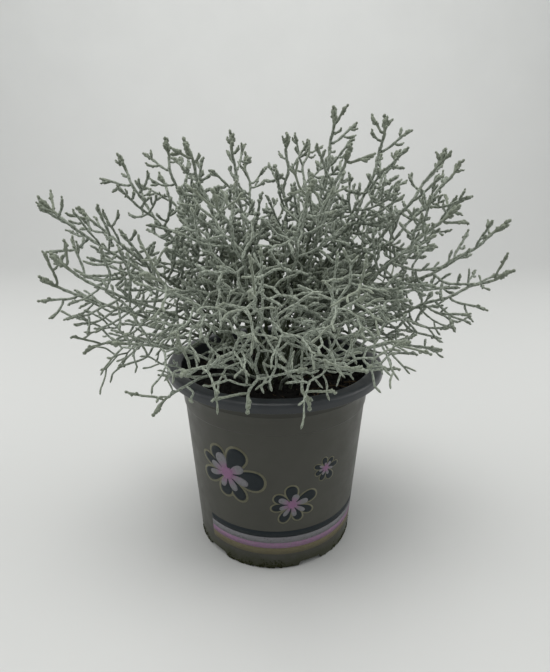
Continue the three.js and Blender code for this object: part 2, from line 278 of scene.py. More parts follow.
class Wood:
    """The stretches of stem that stand already, which later ones keep clear of."""

    CELL = 8.0
    MOST = 60000

    def __init__(self):
        self.count = 0
        self.start = np.zeros((self.MOST, 3))
        self.run = np.zeros((self.MOST, 3))
        self.run_squared = np.ones(self.MOST)
        self.radius = np.zeros(self.MOST)
        self.stem = np.zeros(self.MOST, dtype=int)
        self.cells = {}

    def cells_of(self, low, high):
        """The cells of space that the box between two corners touches."""
        first = np.floor(low / self.CELL).astype(int).tolist()
        last = np.floor(high / self.CELL).astype(int).tolist()
        for i in range(first[0], last[0] + 1):
            for j in range(first[1], last[1] + 1):
                for k in range(first[2], last[2] + 1):
                    yield i, j, k

    def remember(self, points, radii, stem):
        for i in range(1, len(points)):
            run = points[i] - points[i - 1]
            squared = run[0] * run[0] + run[1] * run[1] + run[2] * run[2]
            if squared == 0:
                continue
            n = self.count
            self.start[n], self.run[n], self.run_squared[n] = points[i - 1], run, squared
            self.radius[n] = max(radii[i - 1], radii[i])
            self.stem[n] = stem
            self.count += 1
            low, high = np.minimum(points[i], points[i - 1]), np.maximum(points[i], points[i - 1])
            for cell in self.cells_of(low, high):
                self.cells.setdefault(cell, []).append(n)

    def near(self, spots, reach):
        """The stretches that may come within reach of the spots."""
        found = set()
        for cell in self.cells_of(spots.min(axis=0) - reach, spots.max(axis=0) + reach):
            found.update(self.cells.get(cell, ()))
        return np.array(sorted(found), dtype=int)

    def distances(self, spots, chosen):
        """Distance of each spot to each of the chosen stretches."""
        run = self.run[chosen]
        offset = spots[:, None, :] - self.start[chosen][None, :, :]
        share = np.einsum("ijk,jk->ij", offset, run) / self.run_squared[chosen]
        np.clip(share, 0, 1, out=share)
        offset -= share[:, :, None] * run[None, :, :]
        return np.sqrt(np.einsum("ijk,ijk->ij", offset, offset))


def clear_of_pot(spots):
    """Whether each point lies above the pot, outside of it or over the soil inside it."""
    out = np.hypot(spots[:, 0], spots[:, 1])
    height = spots[:, 2]
    inside = (out < NECK_RADIUS - 4) & (height > SOIL_TOP + COLLAR_RISE)
    return (height > POT_HEIGHT + POT_CLEARANCE) | (out > RIM_RADIUS + POT_CLEARANCE) | inside


def within(spot, height, radius):
    """Whether a point lies lower than a height and closer to the axis than a radius."""
    return spot[2] < height and off_axis(spot) < radius


def cushion_depth(spot):
    """How far out a point lies: 1 on the surface of the bush's cushion."""
    rise = spot[2] - BUSH_MIDDLE
    return math.hypot(off_axis(spot) / BUSH_REACH, rise / (BUSH_RISE if rise > 0 else BUSH_DROP))


def age_and_depth_shade(spot):
    """How old the growth at a point is at least: 0 outside the bush, most deep in or low. This is
    partly the older wood deep in and low, and partly painted shade deep in the bush.
    """
    deep = fade(cushion_depth(spot), 0.74, 0.14)
    low = fade(spot[2], 126, 104) * fade(off_axis(spot), 66, 32)
    return 0.66 * max(deep, low)


def room_round(wood, points, radii, stem):
    """The least gap to the other stems' wood, below 0 where a stem can't stand, and how far
    the points lie from all wood."""
    spots, thick, counted = [], [], []
    for i in range(2, len(points)):
        steps = math.ceil(length_of(points[i] - points[i - 1]) / ROOM_STEP)
        for k in range(1, steps + 1):
            spots.append(points[i - 1] + (points[i] - points[i - 1]) * (k / steps))
            thick.append(max(radii[i - 1], radii[i]))
            counted.append(i > 2 or k == steps)
    spots = np.array(spots)
    if not clear_of_pot(spots).all():
        return -1, 0
    chosen = wood.near(spots, ROOM_REACH)
    if len(chosen) == 0:
        return math.inf, math.inf
    apart = wood.distances(spots, chosen)
    others = wood.stem[chosen] != stem
    gap = math.inf
    if others.any():
        thickness = FACET_SWELL * (np.array(thick)[:, None] + wood.radius[chosen][None, :])
        gap = (apart - thickness)[:, others].min()
    if gap < SEAT_GAP:
        return -1, 0
    return gap, apart[np.array(counted)].min()


def clump_roots():
    """Where the leading stems leave the soil: pushed apart until they stand evenly."""
    roots = []
    for right, back, _, steepness in LEADERS:
        reach = math.hypot(right, back)
        spread = 3 + 14 * (1 - max(steepness, 0)) + reach * 0.06
        roots.append([spread * right / reach, spread * back / reach])
    for _ in range(PUSH_ROUNDS):
        for i, first in enumerate(roots):
            for second in roots[i + 1:]:
                dx, dy = second[0] - first[0], second[1] - first[1]
                apart = math.sqrt(dx * dx + dy * dy)
                push = 0.5 * (CLUMP_SPACING - apart) / apart if apart < CLUMP_SPACING else 0
                first[0] -= push * dx
                first[1] -= push * dy
                second[0] += push * dx
                second[1] += push * dy
    return roots


def arc_point(share, ends):
    """A point on the arc that the four ends pull."""
    rest = 1 - share
    return (rest * rest * rest * ends[0] + 3 * rest * rest * share * ends[1]
            + 3 * rest * share * share * ends[2] + share * share * share * ends[3])


def arc_length(ends, steps=200):
    spots = [arc_point(i / steps, ends) for i in range(steps + 1)]
    return sum(length_of(after - before) for before, after in zip(spots, spots[1:]))


def grow_leader(wood, index, root):
    """A leading stem: straight up out of the soil, then over in one arc to its tip."""
    right, back, height, steepness = LEADERS[index]
    draw = random_stream(SEED * 1000 + index)
    tip = point(right, back, height)
    reach = math.hypot(right, back)
    level = math.sqrt(1 - steepness * steepness)
    heading = point(level * right / reach, level * back / reach, steepness)
    foot = point(root[0], root[1], SOIL_TOP - ROOT_DEPTH)
    collar = point(root[0], root[1], SOIL_TOP + COLLAR_RISE)
    span = length_of(collar - tip)
    side = unit(point(-back, right, 0.3 * reach))
    for bow in range(BOW_TRIES):
        first_pull = collar + (point(right, back, collar[2]) - collar) * 0.22
        first_pull[2] += max(12, 0.3 * span * (0.4 + steepness))
        first_pull = first_pull + side * (bow * 0.6 * (draw() - 0.5))
        last_pull = tip + heading * (-0.33 * span)
        last_pull = last_pull + side * (bow * 1.2 * (draw() - 0.5))
        ends = (collar, first_pull, last_pull, tip)
        steps = math.floor(arc_length(ends) / NODE_SPACING + 0.5)
        points = [foot, foot, collar]
        for i in range(1, steps):
            swing = (1 if i % 2 else -1) * (0.7 + 0.9 * draw())
            share = 1 - (1 - i / steps) ** 1.2
            points.append(arc_point(share, ends) + side * swing)
        points += [tip + heading * (-0.5 * BUD_LENGTH), tip]
        nodes = len(points) - 2
        radii = [STEM_RADIUS + (SHOOT_RADIUS - STEM_RADIUS) * (max(0, i - 2) / (nodes - 2)) ** 0.6
                 for i in range(len(points))]
        radii[0] = 0
        radii[-2:] = BUD_RADIUS, 0
        gap, _ = room_round(wood, points[1:], radii[1:], index)
        if gap > SEAT_GAP:
            return {"index": index, "points": points, "radii": radii, "draw": draw,
                    "nodes": nodes, "shoots": [], "side": side}
    raise RuntimeError(f"stem {index + 1} finds no way to its tip")


def square_pair(along, reference):
    """Two directions that are square to a third one and to each other."""
    across = unit(np.cross(along, reference))
    return across, np.cross(along, across)


def grow_shoot(wood, stem, node):
    """A side shoot from a node: it leaves at a wide angle and bends up and outwards."""
    points, draw = stem["points"], stem["draw"]
    start = points[node]
    share = (node - 2) / (stem["nodes"] - 2)
    along = unit(points[node + 1] - points[node - 1])
    outward = unit(point(start[0], start[1], 0))
    across, second = square_pair(along, point(outward[1], -outward[0], 0.1))
    pull = along * 0.8 + outward * 0.25
    pull[2] += 0.35
    furthest = max(1, cushion_depth(points[-1]))
    best = None
    for _ in range(TRIES):
        roll = math.tau * draw()
        opening = LEAST_OPENING + OPENING_RANGE * draw()
        length = (SHORTEST_SHOOT + LONGER_BELOW * (1 - share) ** 0.8) * (0.75 + 0.5 * draw())
        stalk = length - BUD_LENGTH
        away = (along * math.cos(opening) + across * (math.sin(opening) * math.cos(roll))
                + second * (math.sin(opening) * math.sin(roll)))
        bent = unit(away + pull * 0.5)
        row = [start, start + away * 1.3]
        radii = [0, SHOOT_RADIUS]
        if stalk > BENT_STALK:
            row.append(start + away * (0.5 * stalk))
            radii.append(SHOOT_RADIUS)
        neck = row[-1] + bent * (0.5 * stalk if stalk > BENT_STALK else stalk)
        row += [neck + bent * (share_of_bud * BUD_LENGTH) for share_of_bud in (0, 0.5, 1)]
        radii += [0.9 * SHOOT_RADIUS, BUD_RADIUS, 0]
        depth = cushion_depth(row[-1])
        if depth > furthest:
            continue
        gap, room = room_round(wood, row, radii, stem["index"])
        worth = min(room, 9) + 3 * depth
        if gap > SEAT_GAP and (best is None or worth > best["worth"]):
            best = {"row": row, "radii": radii, "worth": worth, "node": node}
    if best is None:
        return
    stem["shoots"].append(best)
    wood.remember(best["row"], best["radii"], stem["index"])


def grow_stems(wood):
    """Every leading stem first, then their shoots from the tips down."""
    stems = []
    for index, root in enumerate(clump_roots()):
        stem = grow_leader(wood, index, root)
        wood.remember(stem["points"], stem["radii"], index)
        stems.append(stem)
    most_nodes = max(stem["nodes"] for stem in stems)
    for from_tip in range(1, most_nodes):
        for stem in stems:
            node = stem["nodes"] - from_tip
            if node > 3:
                grow_shoot(wood, stem, node)
    return stems


# Fine growth on the leading stems and their shoots


def smooth_row(points):
    """Even steps along a smooth curve through the points, the distance along it at each step,
    and the distance at each of the points."""
    points = np.array([p for i, p in enumerate(points) if i == 0 or length_of(p - points[i - 1])])
    runs = points[1:] - points[:-1]
    spans = np.sqrt((runs * runs).sum(axis=1))
    marks = np.concatenate([[0], np.cumsum(spans)])
    slopes = runs / spans[:, None]
    tangents = np.empty_like(points)
    tangents[0], tangents[-1] = slopes[0], slopes[-1]
    before, after = spans[:-1, None], spans[1:, None]
    tangents[1:-1] = (slopes[:-1] * after + slopes[1:] * before) / (before + after)
    steps = max(3, math.ceil(marks[-1] / RING_SPACING))
    distance = np.linspace(0, marks[-1], steps + 1)
    piece = np.clip(np.searchsorted(marks, distance, side="right") - 1, 0, len(spans) - 1)
    span = spans[piece]
    t = ((distance - marks[piece]) / span)[:, None]
    span = span[:, None]
    curve = ((2 * t ** 3 - 3 * t ** 2 + 1) * points[piece]
             + (t ** 3 - 2 * t ** 2 + t) * span * tangents[piece]
             + (3 * t ** 2 - 2 * t ** 3) * points[piece + 1]
             + (t ** 3 - t ** 2) * span * tangents[piece + 1])
    return curve, distance, marks


def bud_swelling(to_tip, stalk, bud_radius, bud_length):
    """Thickness of a twig by distance to its tip: an even stalk under a blunt club."""
    shares = to_tip / bud_length
    bud = np.interp(shares, [0, 0.08, 0.2, 0.4, 0.65, 1],
                    [0.35, 0.75, 0.96, 1, 0.88, 0.4]) * bud_radius
    return np.maximum(bud, np.where(shares > 0.5, stalk, 0))


def leaning(along, aside, opening):
    """The direction that leaves another one by an angle, to one side of it."""
    return along * math.cos(opening) + aside * math.sin(opening)


def square_to(away, along):
    """A direction square to two others, which are nearly the same for a straight twig."""
    return unit(np.cross(away, along) + along * 1e-6)


def curved_twig(start, away, bent, length, spacing=RING_SPACING):
    """A twig that leaves along one direction and ends along another."""
    steps = max(4, math.ceil(length / spacing))
    t = np.linspace(0, 1, steps + 1)[:, None]
    middle = start + away * (0.5 * length)
    end = middle + bent * (0.5 * length)
    return (1 - t) ** 2 * start + 2 * t * (1 - t) * middle + t ** 2 * end


def zigzag(path, normal, length, swing):
    """Bend a twig's path to and fro at its nodes; also gives the nodes' distances to the tip
    and the sides that they point to."""
    marks = np.linspace(0, length, len(path))
    nodes = max(1, round(length / ZIGZAG_STEP))
    wave = marks / length * nodes
    side = np.abs((wave + 0.5) % 2 - 1) * 2 - 1
    rise = np.minimum(1, marks / ZIGZAG_STEP)
    path = path + (swing * side * rise)[:, None] * normal
    corners = [(length * (1 - (i + 0.5) / nodes), normal if i % 2 else -normal)
               for i in range(nodes)]
    return path, corners


def twig_marks(length, spacing, rng):
    """Distances from a tip at which side twigs stand: close at the tip, wider below."""
    mark, close, wide = spacing
    while mark < length:
        yield mark
        mark += (close + (wide - close) * min(1, mark / 22)) * rng.uniform(0.75, 1.25)


def growth_at(twig, mark):
    """How old a twig's wood is at a distance from its tip."""
    return float(np.interp(mark, twig["to_tip"][::-1], twig["growth"][::-1]))


def roomiest_twig(wood, parent, order, mark, roll, outside, rng):
    """The best of a few side twigs from one place: clear of the pot, inside the box, with room
    round it and, where the growth is lax, ending on the surface of the bush's cushion."""
    curve, lax = parent["curve"], parent["lax"]
    at = int(np.argmin(np.abs(parent["to_tip"] - mark)))
    along = unit(curve[min(at + 1, len(curve) - 1)] - curve[max(at - 1, 0)])
    level = abs(along[2]) < 0.9
    across, second = square_pair(along, point(0.31, 0.17, 0.93) if level else point(0.9, 0.4, 0.1))
    full = 1.8 + 5.5 * parent["open"] + (0.5 + 0.35 * lax) * mark
    limit = parent["longest"] * rng.uniform(0.6, 1.0)
    tries, least_opening, most_opening = (5, 1.1, 1.5) if mark > 8 else (1, 0.8, 1.15)
    best = None
    for attempt in range(tries):
        turn = roll + rng.uniform(-0.4, 0.4) + attempt * 1.35
        opening = rng.uniform(least_opening, most_opening)
        length = min(full * rng.uniform(0.75, 1.2), limit)
        aside = across * math.cos(turn) + second * math.sin(turn)
        if outside is not None:
            aside = unit(aside * 0.5 + outside)
        away = leaning(along, aside, opening)
        bent = unit(away * 0.8 + along * (0.75 - 0.45 * lax) + point(0, 0, 0.4 - 0.65 * lax))
        path = curved_twig(curve[at], away, bent, length)
        normal = square_to(away, along)
        path, corners = zigzag(path, normal, length, (0.25 + 1.0 * lax) * min(1, length / 14))
        tip = path[-1]
        over_rim = within(tip, *OVER_RIM)
        if over_rim and attempt < 4 or (tip < BOX_LOW).any() or (tip > BOX_HIGH).any():
            continue
        if not clear_of_pot(path[2:]).all():
            continue
        room = 9.0
        if mark > 6:
            chosen = wood.near(path[3:], 5)
            if len(chosen):
                room = wood.distances(path[3:], chosen).min()
            if room < 0.9 and order is SECOND:
                continue
        worth = min(room, 6) - 8 * lax * abs(1 - cushion_depth(tip)) - 9 * over_rim
        if best is None or worth > best["worth"]:
            best = {"worth": worth, "path": path, "length": length, "normal": normal,
                    "corners": corners}
    return best


def side_twigs(wood, stem, parent, order, rng):
    """Side twigs on one twig: every few millimetres, or at its corners where it is lax."""
    lax, end = parent["lax"], parent["curve"][-1]
    stretch = 1 + order["spread"] * parent["open"]
    if order is THIRD and cushion_depth(end) < OUTER_GROWTH:
        stretch *= 0.65 if end[0] > DENSE_SIDE else 0.84
    roll = rng.uniform(0, math.tau)
    leafy = parent["to_tip"][0] - parent["bare"]
    spacing = [distance * stretch for distance in order["spacing"]]
    places = [(mark, None) for mark in twig_marks(leafy, spacing, rng)]
    if lax > 0.35 and order is THIRD:
        places = parent["corners"]
    twigs = []
    for mark, outside in places:
        roll += GOLDEN_TURN
        if any(abs(mark - taken) < TAKEN_REACH for taken in parent["taken"]):
            continue
        best = roomiest_twig(wood, parent, order, mark, roll, outside, rng)
        if best is None or (best["worth"] < POOR_PLACE and rng.uniform() < POOR_MISSING):
            continue
        path, length = best["path"], best["length"]
        tip = path[-1]
        if within(tip, *NEAR_SOIL) and rng.uniform() < order["missing"]:
            continue
        runs = path[1:] - path[:-1]
        distance = np.concatenate([[0], np.cumsum(np.sqrt((runs * runs).sum(axis=1)))])
        to_tip = distance[-1] - distance
        crowded = fade(cushion_depth(tip), 0.95, 0.45)
        slim = 1 - 0.22 * lax + 0.36 * crowded
        stalk = order["thick"] * slim * rng.uniform(0.88, 1.12)
        bud = order["bud"] * slim * (1 - 0.15 * lax) * rng.uniform(0.85, 1.12)
        growth = growth_at(parent, mark) * (1 - distance / distance[-1])
        twig = {
            "curve": path, "to_tip": to_tip, "lax": lax, "open": parent["open"], "taken": [],
            "radii": bud_swelling(to_tip, stalk, bud, min(5.5, 0.85 * length)),
            # the twig's age is raised deep in the bush, partly for older wood and partly as painted
            # shade
            "growth": np.maximum(growth, age_and_depth_shade(tip)), "bare": 3 + 4 * lax,
            "longest": (0.8 if crowded > 0.1 and tip[0] > DENSE_SIDE else 0.6) * length,
            "normal": best["normal"], "corners": best["corners"],
        }
        twigs.append(twig)
        wood.remember(path[::2], twig["radii"][::2], stem)
    return twigs


def bud_leaves(parent, count, length, thick, rng):
    """Small pointed leaves that stand off a bud, the lowest ones furthest."""
    curve, to_tip = parent["curve"], parent["to_tip"]
    leaves = []
    turn = rng.uniform(0, math.tau)
    for i in range(count):
        turn += GOLDEN_TURN
        at = int(np.argmin(np.abs(to_tip - 1.2 - 5.6 * i / count)))
        along = unit(curve[min(at + 1, len(curve) - 1)] - curve[at - 1])
        across, second = square_pair(along, parent["normal"] + point(0.1, 0.2, 0.3))
        opening = 0.25 + 0.3 * i / count + rng.uniform(-0.05, 0.1)
        aside = across * math.cos(turn) + second * math.sin(turn)
        away = leaning(along, aside, opening)
        path = curved_twig(curve[at] + aside * 0.3, away, unit(away + along * 0.6),
                           length * rng.uniform(0.8, 1.25), 0.6)
        marks = np.linspace(length, 0, len(path))
        leaves.append({
            "curve": path, "to_tip": marks, "lax": 0, "growth": np.zeros(len(path)),
            "radii": thick * np.interp(marks / length, [0, 0.12, 0.4, 1], [0.35, 0.8, 1, 0.8]),
            "normal": square_to(away, along),
        })
    return leaves


def fine_leader(stem, lax, airy, reach):
    """The leading stem's own wood: thick and bare near the soil, slim at its tip."""
    curve, distance, marks = smooth_row(stem["points"])
    length = distance[-1]
    to_tip = length - distance
    share = np.clip((distance - marks[1]) / (length - marks[1]), 0, 1)
    slim = 1 - 0.2 * lax
    stalk = slim * (LEADER_THICK + (LEADER_THIN - LEADER_THICK) * share ** 0.6)
    return {
        "curve": curve, "to_tip": to_tip, "lax": lax, "open": airy, "normal": stem["side"],
        "radii": bud_swelling(to_tip, stalk, slim * LEADER_BUD, 7.5),
        "growth": np.clip((to_tip - 8) / 110, 0, 1), "bare": 36, "longest": 26 + reach * lax,
        "taken": [length - marks[shoot["node"] - 1] for shoot in stem["shoots"]],
    }


def fine_shoot(row, growth, lax, airy, reach):
    """A side shoot's own wood, which starts as old as its leading stem is there."""
    curve, distance, _ = smooth_row(row)
    to_tip = distance[-1] - distance
    away = unit(curve[1] - curve[0])
    slim = 1 - 0.2 * lax
    tip = curve[-1]
    return {
        "curve": curve, "to_tip": to_tip, "lax": lax, "open": airy, "taken": [],
        "radii": bud_swelling(to_tip, slim * SHOOT_THICK, slim * SHOOT_BUD * (1 - 0.15 * lax), 6),
        # the shoot's age is raised deep in the bush, partly for older wood and partly as painted
        # shade
        "growth": np.maximum(growth * (1 - distance / distance[-1]), age_and_depth_shade(tip)),
        "normal": unit(np.cross(away, unit(tip - curve[0]) + point(0.01, 0.02, 0.03))),
        "bare": 4 + 2 * lax + 30 * (tip[2] < 114), "longest": 18 + 0.7 * reach * lax,
    }


def fine_stem(wood, stem):
    """All of one leafy stem's twigs, from its leading stem to the smallest buds."""
    index = stem["index"]
    rng = np.random.default_rng(SEED * 77 + index)
    right, back, height, steepness = LEADERS[index]
    lax = min(1, max(0, (0.72 - steepness) / 0.6, (-back - 26) / 38))
    airy = max(0.65 * lax if height > LOW_TIP else lax,
               min(0.45, (math.hypot(right, back) - 88) / 34))
    reach = 10 if height > LOW_TIP else 5
    leader = fine_leader(stem, lax, airy, reach)
    shoots = [fine_shoot(shoot["row"], growth_at(leader, mark), lax, airy, reach)
              for shoot, mark in zip(stem["shoots"], leader["taken"])]
    seconds = []
    for parent in (leader, *shoots):
        seconds += side_twigs(wood, index, parent, SECOND, rng)
    twigs = [leader, *shoots, *seconds]
    for twig in seconds:
        tip = twig["curve"][-1]
        least = 8 if cushion_depth(tip) > OUTER_GROWTH else 4.5 if tip[0] > DENSE_SIDE else 5.5
        if twig["to_tip"][0] > least + 4 * lax:
            twigs += side_twigs(wood, index, twig, THIRD, rng)
    twigs += bud_leaves(leader, 7 if lax < 0.7 else 2, 2.4, 0.8, rng)
    for shoot in shoots:
        twigs += bud_leaves(shoot, 3, 1.7, 0.6, rng)
    for twig in seconds:
        if lax < 0.7 and cushion_depth(twig["curve"][-1]) > OUTER_GROWTH:
            twigs += bud_leaves(twig, 2, 1.5, 0.5, rng)
    return twigs


# Meshes


def add_object(name, data, *finishes):
    """An object in the scene, with its materials in the order that its faces name."""
    for finish in finishes:
        data.materials.append(finish)
    piece = bpy.data.objects.new(name, data)
    bpy.context.scene.collection.objects.link(piece)
    return piece


def mesh_of(bm, name):
    mesh = bpy.data.meshes.new(name)
    bm.to_mesh(mesh)
    bm.free()
    return mesh


def turned_spot(radius, turn, height):
    """A point by its distance from the axis, its turn round it and its height, in metres."""
    return radius * math.cos(turn) * MM, radius * math.sin(turn) * MM, height * MM


def circle(bm, sides, radius, height):
    """Vertices round the axis, at a height or at the height that a rule gives for x and y."""
    ring = []
    for k in range(sides):
        turn = math.tau * k / sides
        rise = height
        if callable(height):
            rise = height(radius * math.cos(turn), radius * math.sin(turn))
        ring.append(bm.verts.new(turned_spot(radius, turn, rise)))
    return ring


def skin(bm, rings, part=0, smooth=True, closed=True):
    """Faces from each row of vertices to the next. A row of one vertex is a pole."""
    for low, high in zip(rings, rings[1:]):
        count = max(len(low), len(high))
        for k in range(count if closed else count - 1):
            n = (k + 1) % count
            corners = (low[k % len(low)], low[n % len(low)],
                       high[n % len(high)], high[k % len(high)])
            face = bm.faces.new(tuple(dict.fromkeys(corners)))
            face.material_index = part
            face.smooth = smooth


def capped_skin(bm, rings, part=0, smooth=True):
    skin(bm, rings, part, smooth)
    for cap in (rings[0][::-1], rings[-1]):
        bm.faces.new(cap).material_index = part


def tube_faces(rings, sides, first):
    """Quads of a tube's wall, a fan at its tip and a closing face at its start."""
    ring = np.arange(rings - 1)[:, None] * sides
    k = np.arange(sides)[None, :]
    after = (k + 1) % sides
    quads = np.stack([ring + k, ring + after, ring + sides + after, ring + sides + k], axis=2)
    quads = (quads.reshape(-1, 4) + first).tolist()
    tip = first + rings * sides
    last = tip - sides
    fan = [[last + i, last + (i + 1) % sides, tip] for i in range(sides)]
    return quads + fan + [[first + i for i in reversed(range(sides))]]


def scaly_tube(twig, rng):
    """Rings round a twig's curve, each lifted into small scale leaves in five columns."""
    curve, radii = twig["curve"], twig["radii"]
    along = np.gradient(curve, axis=0)
    along /= np.sqrt((along * along).sum(axis=1))[:, None]
    normal = twig["normal"]
    across = normal - (along @ normal)[:, None] * along
    across /= np.sqrt((across * across).sum(axis=1))[:, None]
    second = np.cross(along, across)
    rings = len(curve)
    j = np.arange(rings)[:, None]
    k = np.arange(TWIG_SIDES)[None, :]
    lift = ((j - 3 * k) % LEAF_COLUMNS) / (LEAF_COLUMNS - 1)
    relief = 0.52 - 0.27 * twig["lax"]
    swell = 1.02 + relief * (lift - 0.5) + rng.uniform(-0.05, 0.05, (rings, TWIG_SIDES))
    swell[0] = 0.6
    angle = math.tau * (k / TWIG_SIDES) + 0.04 * j
    radius = radii[:, None] * swell
    rise = 0.38 * RING_SPACING * lift * np.minimum(1, twig["to_tip"] / 1.5)[:, None]
    ring = (curve[:, None, :]
            + (radius * np.cos(angle))[:, :, None] * across[:, None, :]
            + (radius * np.sin(angle))[:, :, None] * second[:, None, :]
            + rise[:, :, None] * along[:, None, :])
    vertices = np.concatenate([ring[:-1].reshape(-1, 3), curve[-1:] + along[-1:] * 0.1])
    growth = np.concatenate([np.repeat(twig["growth"][:-1], TWIG_SIDES), twig["growth"][-1:]])
    scale = np.concatenate([lift[:-1].ravel(), [0.8]])
    return vertices, growth, scale


def stem_mesh(name, twigs, rng):
    """One mesh of all of a stem's twigs; its age attribute, which also carries painted shade deep in
    the bush, and scale_tip tell its finish what is where.
    """
    vertices, growth, scales, faces = [], [], [], []
    first = 0
    for twig in twigs:
        tube, tube_growth, tube_scales = scaly_tube(twig, rng)
        faces += tube_faces(len(twig["curve"]) - 1, TWIG_SIDES, first)
        vertices.append(tube)
        growth.append(tube_growth)
        scales.append(tube_scales)
        first += len(tube)
    mesh = bpy.data.meshes.new(name)
    mesh.from_pydata((np.concatenate(vertices) * MM).tolist(), [], faces)
    # the age attribute is partly real age and partly painted shade for the twigs deep in the bush
    for key, values in (("age_and_shade", growth), ("scale_tip", scales)):
        mark = mesh.attributes.new(key, "FLOAT", "POINT")
        mark.data.foreach_set("value", np.concatenate(values).astype(np.float32))
    mesh.polygons.foreach_set("use_smooth", np.ones(len(mesh.polygons), dtype=bool))
    mesh.update()
    return mesh


# Pot


def wall_radius(height):
    """Outer radius of the pot's wall at a height."""
    slope = (NECK_RADIUS - LEDGE_STEP - FOOT_RADIUS) / (POT_HEIGHT - RIM_DEPTH)
    return FOOT_RADIUS + slope * height + (LEDGE_STEP if height > LEDGE_HEIGHT else 0)


def pot_profile():
    """Rows of radius, height, finish and how round the corner is, from the floor's middle."""
    under_rim = POT_HEIGHT - WALL - 0.6
    foot_inside = FOOT_RADIUS - FOOT_RING_WIDTH
    ledge_top = LEDGE_HEIGHT + 0.6

    def out(height, part=OUTSIDE, share=0.0):
        return (wall_radius(height), height, part, share)

    def inner(height, share=0.0):
        return (wall_radius(height) - WALL, height, PLAIN, share)

    return [
        (0, NOTCH_HEIGHT, PLAIN, 0), (foot_inside, NOTCH_HEIGHT, PLAIN, 1),
        (foot_inside + 0.5, 0, PLAIN, 1), (FOOT_RADIUS - 0.5, 0, PLAIN, 0.6),
        out(0.6, PLAIN, 0.6), *(out(height) for height in (4, 10, 20, 30, 40, 50, 60, 70)),
        out(LEDGE_HEIGHT, OUTSIDE, 0.5), out(ledge_top, OUTSIDE, 0.5), out(84),
        out(BEAD_HEIGHT - 0.3), (wall_radius(BEAD_HEIGHT) + 0.16, BEAD_HEIGHT, OUTSIDE, 0),
        out(BEAD_HEIGHT + 0.3),
        out(under_rim - 0.5, PLAIN, 1), (wall_radius(under_rim) + 0.6, under_rim, PLAIN, 0),
        (RIM_RADIUS - WALL - 0.5, under_rim, PLAIN, 0.5),
        (RIM_RADIUS - WALL, under_rim - 0.6, PLAIN, 0.5),
        (RIM_RADIUS - WALL, POT_HEIGHT - RIM_DEPTH, PLAIN, 0.4),
        (RIM_RADIUS, POT_HEIGHT - RIM_DEPTH, PLAIN, 0.4),
        (RIM_RADIUS, POT_HEIGHT - 1.6, PLAIN, 1), (RIM_RADIUS - 0.6, POT_HEIGHT - 0.5, PLAIN, 1),
        (RIM_RADIUS - 1.8, POT_HEIGHT, PLAIN, 1),
        (wall_radius(POT_HEIGHT) + 0.4, POT_HEIGHT, PLAIN, 1), inner(POT_HEIGHT - 1, 1),
        inner(ledge_top), inner(LEDGE_HEIGHT), inner(WALL, 1),
        (foot_inside + WALL, WALL, PLAIN, 1), (foot_inside, NOTCH_HEIGHT + WALL, PLAIN, 1),
        (0, NOTCH_HEIGHT + WALL, PLAIN, 0),
    ]


def rounded(profile, radius, steps=4):
    """The profile's rows of radius, height and finish, with its marked corners rounded."""
    rows = []
    for i, (r, h, part, share) in enumerate(profile):
        if share == 0:
            rows.append((r, h, part))
            continue
        here = np.array([r, h])
        before = np.array(profile[i - 1][:2]) - here
        after = np.array(profile[i + 1][:2]) - here
        cut = min(radius * share, 0.45 * np.hypot(*before), 0.45 * np.hypot(*after))
        start = here + before / np.hypot(*before) * cut
        end = here + after / np.hypot(*after) * cut
        for s in range(steps + 1):
            t = s / steps
            spot = (1 - t) ** 2 * start + 2 * t * (1 - t) * here + t ** 2 * end
            rows.append((spot[0], spot[1], part if t > 0 else rows[-1][2]))
    return rows


def turned_mesh(name, rows, sides):
    """A closed body turned round the axis from rows of radius, height and finish."""
    bm = bmesh.new()
    rings = [circle(bm, sides if radius else 1, radius, height) for radius, height, _ in rows]
    for i in range(1, len(rows)):
        skin(bm, rings[i - 1:i + 1], rows[i][2])
    bmesh.ops.recalc_face_normals(bm, faces=bm.faces)
    return mesh_of(bm, name)


def tool(bm, name, angle_deg):
    """A closed form that is joined to the pot or cut out of it, turned to its place."""
    bmesh.ops.recalc_face_normals(bm, faces=bm.faces)
    bm.transform(Matrix.Rotation(math.radians(angle_deg), 4, "Z"))
    return bpy.data.objects.new(name, mesh_of(bm, name))


def combine(piece, tools, operation):
    """Join the tools' volume to a piece, or cut it out of the piece."""
    group = bpy.data.collections.new("tools")
    bpy.context.scene.collection.children.link(group)
    for each in tools:
        group.objects.link(each)
    change = piece.modifiers.new("change", "BOOLEAN")
    change.operation = operation
    change.operand_type = "COLLECTION"
    change.collection = group
    change.solver = "EXACT"
    result = bpy.data.meshes.new_from_object(
        piece.evaluated_get(bpy.context.evaluated_depsgraph_get()))
    old = piece.data
    piece.modifiers.clear()
    piece.data = result
    bpy.data.meshes.remove(old)
    for each in tools:
        bpy.data.objects.remove(each)
    bpy.data.collections.remove(group)


def arch(name, width, top, corner, near, far, angle_deg):
    """The air under an arch: flat topped with round corners, from one radius out to another."""
    half = width / 2
    outline = [(-half - 0.25 * top, -2.0), (-half - 0.1 * top, 0.0)]
    for a in np.linspace(math.pi, math.pi / 2, 6):
        outline.append((-half + corner + corner * math.cos(a), top - corner + corner * math.sin(a)))
    outline += [(-x, y) for x, y in reversed(outline)]
    bm = bmesh.new()
    capped_skin(bm, [[bm.verts.new((out * MM, y * MM, z * MM)) for y, z in outline]
                     for out in (near, far)])
    return tool(bm, name, angle_deg)


def notch_cutter(angle_deg):
    """The air between two feet."""
    return arch("notch", NOTCH_WIDTH, NOTCH_HEIGHT, NOTCH_ROUNDING,
                FOOT_RADIUS - FOOT_RING_WIDTH - 2.0, FOOT_RADIUS + CUT_PAST, angle_deg)


def slit_cutter(angle_deg):
    """The shallow slit in the middle of one foot."""
    return arch("slit", SLIT_WIDTH, SLIT_HEIGHT, SLIT_ROUNDING,
                FOOT_RADIUS - 0.5, FOOT_RADIUS + CUT_PAST, angle_deg)


